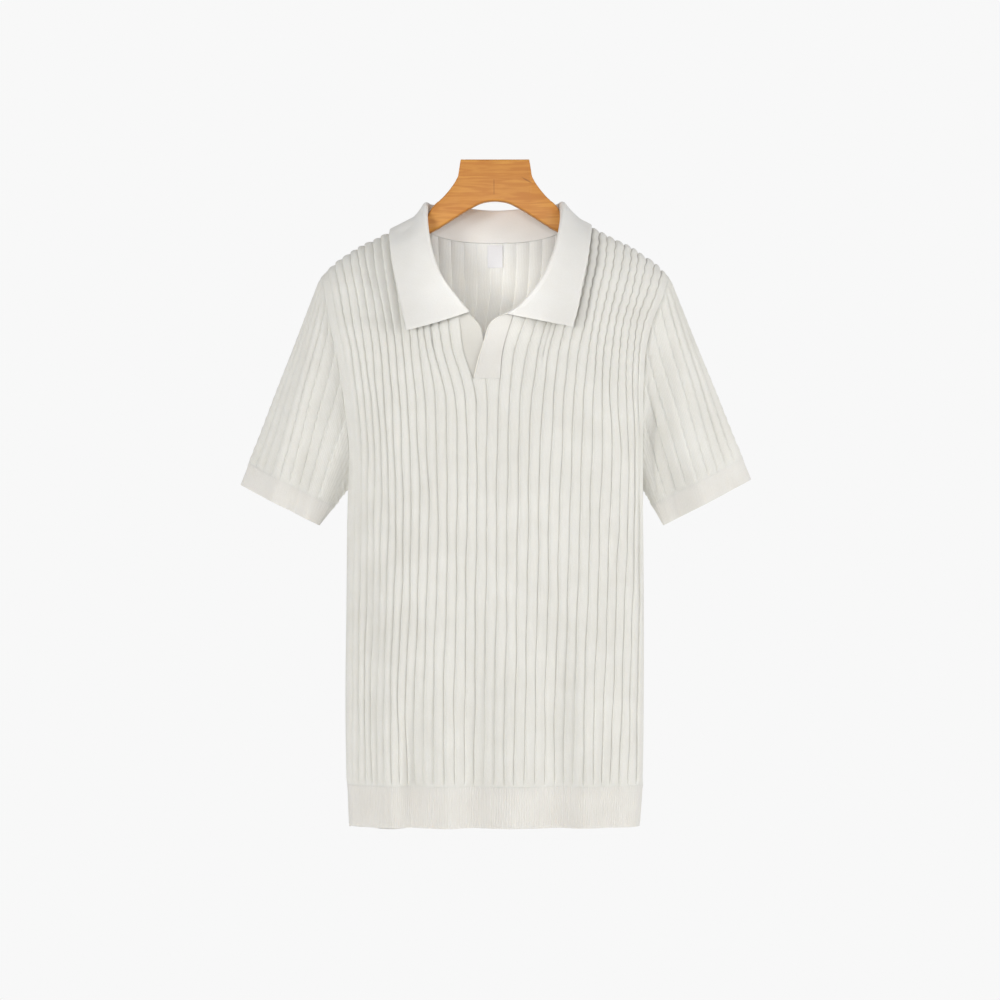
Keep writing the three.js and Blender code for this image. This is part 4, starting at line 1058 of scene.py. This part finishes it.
def welt_piece():
    """The turned edge that shows along the right band and up the right roll. Its pale cream colour is a
    painted highlight along that edge.
    """
    heights = np.linspace(BAND_RIGHT[0][0] + 1, BAND_RIGHT[-2][0], 40)
    free = read_pairs(BAND_RIGHT, heights)
    on_band = body_at("front", free, heights) + body_at_normal("front", free, heights) * BAND_WALL * 0.6
    middle = collar_sections()
    roll = middle[:WELT_FIRST:-1]
    outward = unit(roll[:, WELT_RING] - (roll[:, ROLL_FIRST] + roll[:, ROLL_LAST]) / 2)
    on_roll = roll[:, WELT_RING] + outward * COLLAR_WALL * 0.5
    return add_tubes("edge_welt", [np.concatenate([on_band, on_roll])], WELT_RADIUS)


def label_stitches():
    """Short stitches that hold the label along its top."""
    paths = []
    reach = LABEL_WIDTH / 2 - STITCH_FROM_SIDE
    for x in np.linspace(-reach, reach, STITCHES):
        spots = x + np.array([-STITCH_HALF, 0, STITCH_HALF])
        z = np.full(3, LABEL_TOP - STITCH_FROM_TOP)
        point, normal = body_at("back", spots, z), body_at_normal("back", spots, z)
        lift = WALL + GAP + LABEL_WALL + STITCH_LIFT
        paths.append(point - normal * lift[:, None])
    return add_tubes("label_stitches", paths, STITCH_RADIUS)


def label_piece():
    across = np.linspace(-0.5, 0.5, 9)
    heights = np.linspace(LABEL_TOP, LABEL_BOTTOM, 15)
    x, z = np.meshgrid(across * LABEL_WIDTH, heights)
    point, normal = body_at("back", x, z), body_at_normal("back", x, z)
    fallen = (LABEL_TOP - z) / (LABEL_TOP - LABEL_BOTTOM)
    lift = WALL + GAP + LABEL_CURL * np.abs(across[None, :] * 2) ** 3 * fallen
    uv = np.stack([x, z], axis=-1)
    near = point - normal * lift[..., None]
    far = point - normal * (lift + LABEL_WALL)[..., None]
    return wall_mesh("neck_label", (near, across, uv), (far, across, uv))


# Hanger: rows are x, top, under side and half depth, for the side of +X
HANGER_ROWS = (
    (0, 0, -46.5, 7.0),
    (15, 0, -48.6, 7.0),
    (31, 0, -56.7, 7.2),
    (38.4, 0, -61.3, 7.4),
    (41.4, -19, -63.2, 7.5),
    (45.5, -26.5, -65.8, 7.6),
    (51, -34.2, -69.3, 7.8),
    (58.2, -42.6, -73.8, 8.0),
    (65, -47.9, -78, 8.2),
    (72, -54.5, -82, 7.4),
    (79, -68, -86.4, 7.8),
    (90, -75, -93.5, 8.4),
    (108, -83.6, -104, 8.6),
    (128, -92.4, -114.6, 9.4),
    (146, -102.2, -123, 8.6),
    (160, -110.5, -127, 6.6),
    (166, -116.5, -125, 3.4),
)
HANGER_CORNER = 2.2
HANGER_ROUNDNESS = 0.92
HANGER_ROUND_FROM = (62, 76)
HANGER_SOFT_FROM = (46, 60)
HANGER_LEAST_SOFT = 0.35
CORNER_STEPS = 6


def hanger_piece():
    rows = np.array(HANGER_ROWS)
    reach = rows[-1, 0]
    steps = np.concatenate([
        np.arange(0, 36, 3), np.arange(36, 44, 0.4), np.arange(44, 62, 1), np.arange(62, reach, 2.5), [reach],
    ])
    x = np.concatenate([-steps[:0:-1], steps])
    top, half = (np.interp(np.abs(x), rows[:, 0], rows[:, k]) for k in (1, 3))
    mirrored = np.concatenate([rows[:0:-1] * (-1, 1, 1, 1), rows])
    under = read_smooth(mirrored[:, 0], mirrored[:, 2], x)
    soft = np.maximum(smoothstep(np.abs(x), *HANGER_SOFT_FROM), HANGER_LEAST_SOFT)
    for values in (top, under, half):
        middle, near = values[2:-2], values[1:-3] + values[3:-1]
        values[2:-2] += ((values[:-4] + values[4:] + 2 * near + 3 * middle) / 9 - middle) * soft[2:-2]
    top = np.minimum(top, 0)
    tall = (top - under) / 2
    round_corner = np.minimum(half, tall) * HANGER_ROUNDNESS
    corner = HANGER_CORNER + (round_corner - HANGER_CORNER) * smoothstep(np.abs(x), *HANGER_ROUND_FROM)
    loops = []
    for quarter, (y_sign, z_sign) in enumerate(((1, 1), (-1, 1), (-1, -1), (1, -1))):
        for k in range(CORNER_STEPS + 1):
            angle = (quarter + k / CORNER_STEPS) * math.pi / 2
            loops.append(np.stack([
                x,
                y_sign * (half - corner) + corner * math.cos(angle),
                (top + under) / 2 + z_sign * (tall - corner) + corner * math.sin(angle),
            ], axis=-1))
    points = np.stack(loops, axis=1)
    return make_object("wood_hanger", points.reshape(-1, 3), capped_tube(points), sharp=38)


# Materials
class Nodes:
    """A short way to write a material's nodes."""

    def __init__(self, name):
        self.material = bpy.data.materials.new(name)
        self.material.use_nodes = True
        self.tree = self.material.node_tree
        self.shader = self.tree.nodes["Principled BSDF"]

    def add(self, kind, inputs=(), **settings):
        node = self.tree.nodes.new(kind)
        for key, value in settings.items():
            setattr(node, key, value)
        for key, value in dict(inputs).items():
            if isinstance(value, bpy.types.NodeSocket):
                self.tree.links.new(value, node.inputs[key])
            else:
                node.inputs[key].default_value = value
        return node

    def math(self, operation, a, b=0.0, c=0.0):
        return self.add("ShaderNodeMath", {0: a, 1: b, 2: c}, operation=operation).outputs[0]

    def times(self, a, b):
        return self.math("MULTIPLY", a, b)

    def plus(self, a, b):
        return self.math("ADD", a, b)

    def minus(self, a, b):
        return self.math("SUBTRACT", a, b)

    def scaled(self, a, factor, more):
        return self.math("MULTIPLY_ADD", a, factor, more)

    def blend(self, share, low, high):
        return self.add("ShaderNodeMix", {0: share, 6: low, 7: high}, data_type="RGBA").outputs[2]

    def ramp(self, value, low, high):
        node = self.add("ShaderNodeMapRange", {0: value, 1: low, 2: high}, interpolation_type="SMOOTHSTEP")
        return node.outputs[0]

    def wave(self, value, length=1.0):
        return self.math("SINE", self.times(value, 2 * math.pi / length))

    def noise(self, vector, scale, detail=2.0, roughness=0.5):
        inputs = {"Vector": vector, "Scale": scale, "Detail": detail, "Roughness": roughness}
        return self.add("ShaderNodeTexNoise", inputs).outputs[0]

    def place(self):
        return self.add("ShaderNodeTexCoord").outputs["Object"]

    def parts(self, vector):
        return self.add("ShaderNodeSeparateXYZ", {0: vector}).outputs

    def cloth_parts(self):
        """Distances in mm across and along the cloth."""
        return self.parts(self.add("ShaderNodeUVMap", uv_map="cloth").outputs[0])

    def link(self, **values):
        for socket, value in values.items():
            self.tree.links.new(value, self.shader.inputs[socket.replace("_", " ")])

    def bump(self, height, strength, distance):
        inputs = {"Height": height, "Strength": strength, "Distance": distance * MM}
        self.link(Normal=self.add("ShaderNodeBump", inputs).outputs[0])

    def set(self, settings):
        for socket, value in settings.items():
            self.shader.inputs[socket].default_value = value


def linear(red, green, blue):
    """The linear colour of an sRGB one."""
    parts = [part / 255 for part in (red, green, blue)]
    return (*(part / 12.92 if part < 0.04045 else ((part + 0.055) / 1.055) ** 2.4 for part in parts), 1.0)


SHEEN = 0.1
BROAD_STITCH = (1.45, 1.15, 0.28)
FINE_STITCH = (1.3, 1.1, 0.22)
FLAT_STITCH = (1.3, 1.1, 0.1)


def knit_material(name, light, dark, stitch_size, glow=2):
    """Knit: columns of V stitches along v. stitch_size is the width, height and depth of a
    stitch in mm, and glow how far light carries through the cloth."""
    nodes = Nodes(name)
    wale, course, depth = stitch_size
    place, parts = nodes.place(), nodes.cloth_parts()
    wobble = nodes.scaled(nodes.noise(place, 260.0), 0.8, -0.4)
    column = nodes.plus(nodes.math("DIVIDE", parts[0], wale), wobble)
    from_middle = nodes.math("ABSOLUTE", nodes.scaled(nodes.math("FRACT", column), 2.0, -1.0))
    row = nodes.plus(nodes.math("DIVIDE", parts[1], course), nodes.times(from_middle, 0.55))
    column_shape = nodes.minus(1.0, nodes.math("POWER", from_middle, 3.0))
    stitch = nodes.times(nodes.scaled(nodes.wave(row), 0.3, 0.5), column_shape)
    fuzz = nodes.noise(place, 1400.0, 3.0, 0.65)
    nodes.bump(nodes.plus(stitch, nodes.times(fuzz, 0.7)), 0.6, depth)
    cloud = nodes.noise(place, 22.0, 3.0, 0.55)
    tint = nodes.plus(nodes.times(cloud, 0.5), nodes.times(stitch, 0.55))
    speck = nodes.plus(tint, nodes.scaled(fuzz, 0.5, -0.2))
    nodes.link(
        Base_Color=nodes.blend(nodes.ramp(speck, 0.2, 0.85), linear(*dark), linear(*light)),
        Roughness=nodes.scaled(fuzz, 0.12, 0.84),
    )
    nodes.set({
        "Sheen Weight": SHEEN,
        "Sheen Roughness": 0.45,
        "Specular IOR Level": 0.25,
        "Subsurface Weight": 0.6,
        "Subsurface Radius": (1.0, 0.95, 0.85),
        "Subsurface Scale": glow * MM,
    })
    return nodes.material


def label_material():
    nodes = Nodes("woven_label")
    parts = nodes.cloth_parts()
    weave = nodes.times(nodes.wave(parts[0], 0.35), nodes.wave(parts[1], 0.5))
    nodes.bump(weave, 0.35, 0.08)
    share = nodes.scaled(weave, 0.5, 0.5)
    nodes.link(
        Base_Color=nodes.blend(share, linear(212, 210, 211), linear(224, 223, 224)),
        Roughness=nodes.scaled(share, 0.1, 0.42),
    )
    nodes.set({"Sheen Weight": SHEEN})
    return nodes.material


def thread_material():
    nodes = Nodes("sewing_thread")
    fibre = nodes.noise(nodes.place(), 2600.0, 2.0, 0.6)
    nodes.link(Base_Color=nodes.blend(fibre, linear(226, 221, 212), linear(246, 243, 236)))
    nodes.bump(fibre, 0.5, 0.05)
    nodes.set({"Roughness": 0.6})
    return nodes.material


# The glued joint in the hanger's head, and a dark streak in the grain: its place, length,
# height and fall
JOINT_X = -1.1
JOINT_LOW = -39.2
JOINT_HIGH = -22.4
STREAK = (35.8, -23.5, 6.5, 1.1)
STREAK_SLOPE = 0.55


def wood_material():
    nodes = Nodes("varnished_wood")
    place = nodes.place()
    x, _, z = nodes.parts(place)
    mapping = {"Vector": place, "Scale": (0.1, 1.0, 1.0), "Rotation": (0, 0.06, 0)}
    stretched = nodes.add("ShaderNodeMapping", mapping).outputs[0]
    broad = nodes.noise(stretched, 85.0, 3.0, 0.55)
    rings = nodes.math("SINE", nodes.times(broad, 34.0))
    pores = nodes.noise(stretched, 900.0, 2.0, 0.6)
    grain = nodes.scaled(rings, 0.16, nodes.times(broad, 0.9))
    grain = nodes.scaled(pores, 0.25, nodes.minus(grain, 0.1))
    wood = nodes.blend(nodes.ramp(grain, 0.2, 0.85), linear(184, 118, 50), linear(203, 142, 66))
    from_joint = nodes.math("ABSOLUTE", nodes.minus(x, JOINT_X * MM))
    line = nodes.minus(1.0, nodes.ramp(from_joint, 0.15 * MM, 0.55 * MM))
    above = nodes.ramp(z, (JOINT_LOW - 1) * MM, (JOINT_LOW + 1) * MM)
    below = nodes.minus(1.0, nodes.ramp(z, (JOINT_HIGH - 1) * MM, (JOINT_HIGH + 1) * MM))
    joint = nodes.times(line, nodes.times(above, below))
    streak_x, streak_z, long, tall = STREAK
    from_middle = nodes.minus(x, streak_x * MM)
    across = nodes.math("DIVIDE", from_middle, long * MM)
    fallen = nodes.scaled(from_middle, STREAK_SLOPE, z)
    up = nodes.math("DIVIDE", nodes.minus(fallen, streak_z * MM), tall * MM)
    from_streak = nodes.plus(nodes.times(across, across), nodes.times(up, up))
    streak = nodes.minus(1.0, nodes.ramp(from_streak, 0.1, 1.3))
    mark = nodes.math("MAXIMUM", nodes.times(joint, 0.55), nodes.times(streak, 0.5))
    nodes.link(
        Base_Color=nodes.blend(mark, wood, linear(110, 62, 30)),
        Roughness=nodes.scaled(pores, 0.15, 0.45),
    )
    nodes.bump(nodes.minus(nodes.times(pores, 0.5), joint), 0.25, 0.12)
    nodes.set({"Specular IOR Level": 0.3, "Coat Weight": 0.08, "Coat Roughness": 0.3})
    return nodes.material


RIB_CLOTH = knit_material("rib_knit", (229, 228, 223), (212, 210, 203), BROAD_STITCH)
# The back panel's knit is a lighter copy of the rib knit: painted light, so the inside of the back seen
# through the neck opening reads as lit
BACK_CLOTH_PAINTED_LIGHT = knit_material("rib_knit_back", (236, 235, 231), (220, 218, 212), BROAD_STITCH, glow=3)
FINE_CLOTH = knit_material("fine_knit", (229, 228, 225), (215, 213, 208), FINE_STITCH)
BAND_CLOTH = knit_material("band_knit", (227, 225, 220), (213, 210, 204), FINE_STITCH)
# A darker copy of the band knit for the left V band: painted shade, because that band lies lower, beneath the
# right band, in shade
BAND_CLOTH_PAINTED_SHADE = knit_material("edge_knit", (218, 216, 210), (205, 202, 194), FINE_STITCH)
LABEL_CLOTH = label_material()
# Pale cream knit for the welt: the tube is the rolled edge, and its colour is a painted highlight along the
# right band and roll
WELT_PAINTED_HIGHLIGHT = knit_material("welt_knit", (243, 240, 232), (232, 227, 216), FLAT_STITCH)
THREAD = thread_material()
WOOD = wood_material()


def put(piece, material, slot, *nodes):
    piece.data.materials.clear()
    piece.data.materials.append(material)
    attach(piece, "root")
    if nodes:
        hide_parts(*nodes)
    return piece


front = put(body_panel("front"), RIB_CLOTH, "rib_knit", "front_panel")
# The back panel takes the lighter copy of the rib knit: painted light on its inside
back = put(body_panel("back"), BACK_CLOTH_PAINTED_LIGHT, "rib_knit", "back_panel")
sleeve_left = put(sleeve_piece(SLEEVE_LEFT, "cloth_sleeve_left"), RIB_CLOTH, "rib_knit", "sleeve_left")
sleeve_right = put(sleeve_piece(SLEEVE_RIGHT, "cloth_sleeve_right"), RIB_CLOTH, "rib_knit", "sleeve_right")
cuff_left = put(cuff_piece(SLEEVE_LEFT, "cuff_rib_left"), BAND_CLOTH, "fine_knit", "cuff_left")
cuff_right = put(cuff_piece(SLEEVE_RIGHT, "cuff_rib_right"), BAND_CLOTH, "fine_knit", "cuff_right")
hem_front = put(hem_band("front"), BAND_CLOTH, "fine_knit", "hem_band_front")
hem_back = put(hem_band("back"), BAND_CLOTH, "fine_knit", "hem_band_back")
collar = put(collar_piece(), FINE_CLOTH, "fine_knit", "collar")
# The left band takes the darker band knit: painted shade
under_band = band_piece("v_band_left", BAND_LEFT, V_LEFT, -GAP, -GAP - BAND_WALL)
band_left = put(under_band, BAND_CLOTH_PAINTED_SHADE, "fine_knit", "neck_band_left")
over_band = band_piece("v_band_right", BAND_RIGHT, V_RIGHT, BAND_WALL, 0)
band_right = put(over_band, BAND_CLOTH, "fine_knit", "neck_band_right")
label = put(label_piece(), LABEL_CLOTH, "label_cloth", "label")
hanger = put(hanger_piece(), WOOD, "wood", "hanger")

# The welt wears the pale knit: a painted highlight along the rolled edge
welt = put(welt_piece(), WELT_PAINTED_HIGHLIGHT, "fine_knit")
stitches = put(label_stitches(), THREAD, "label_cloth")

# Camera, light and floor
CAMERA_PLACE = (0.0056, -3.2, -0.3808)
LENS = 102.86

camera_data = bpy.data.cameras.new("camera")
camera_data.lens = LENS
camera_data.sensor_width = 36
camera = add_object("camera", camera_data)
camera.location = CAMERA_PLACE
camera.rotation_euler = (math.pi / 2, 0, 0)
bpy.context.scene.camera = camera


def add_light(kind, name, place, target, power, **settings):
    """A light that faces target. Places are in metres and power is in watts."""
    data = bpy.data.lights.new(name, kind)
    data.energy = power
    for key, value in settings.items():
        setattr(data, key, value)
    light = add_object(name, data)
    light.location = place
    toward = Vector(target) - Vector(place)
    light.rotation_euler = toward.to_track_quat("-Z", "Y").to_euler()


add_light("AREA", "key", (-2.0, -2.4, -0.1), (0, 0, -0.42), 36, size=0.8)
add_light("AREA", "fill", (2.6, -1.3, 0.1), (0, 0, -0.42), 38, size=1.4)
add_light("AREA", "front", (0.0, -3.6, 0.1), (0, 0, -0.3), 24, size=0.9)
add_light("AREA", "behind", (0, 2.8, 0.2), (0, 0, -0.4), 60, size=2.4)

# A soft narrow beam into the neck, where little else reaches
add_light(
    "SPOT", "neck_beam", (0, -2.5, 0.25), (0, 0.03, -0.135), 150,
    spot_size=math.radians(3.2), spot_blend=0.8, shadow_soft_size=0.05,
)

# The pale studio: what the camera sees behind the shirt, and what lights it from all round
BACKDROP = 0.9387
AMBIENT = 0.43
world = bpy.data.worlds.new("studio")
world.use_nodes = True
world_nodes, world_links = world.node_tree.nodes, world.node_tree.links
surface = world_nodes["Background"]
seen = world_nodes.new("ShaderNodeLightPath")
strength = world_nodes.new("ShaderNodeMapRange")
strength.inputs["To Min"].default_value = AMBIENT
strength.inputs["To Max"].default_value = BACKDROP
world_links.new(seen.outputs["Is Camera Ray"], strength.inputs["Value"])
world_links.new(strength.outputs[0], surface.inputs["Strength"])
surface.inputs["Color"].default_value = (1, 1, 1, 1)
bpy.context.scene.world = world
bpy.context.scene.view_settings.view_transform = "Standard"

FLOOR_RADIUS = 2.2
FLOOR_Z = -1.45
FLOOR_COLOUR = (0.8, 0.8, 0.79, 1)
floor_mesh = bpy.data.meshes.new("floor")
shape = bmesh.new()
bmesh.ops.create_circle(shape, cap_ends=True, radius=FLOOR_RADIUS, segments=96)
shape.to_mesh(floor_mesh)
shape.free()
floor = add_object("floor", floor_mesh)
floor.location = (0, 0, FLOOR_Z)
floor_look = Nodes("pale_floor")
floor_look.set({"Base Color": FLOOR_COLOUR, "Roughness": 0.9})
floor_mesh.materials.append(floor_look.material)
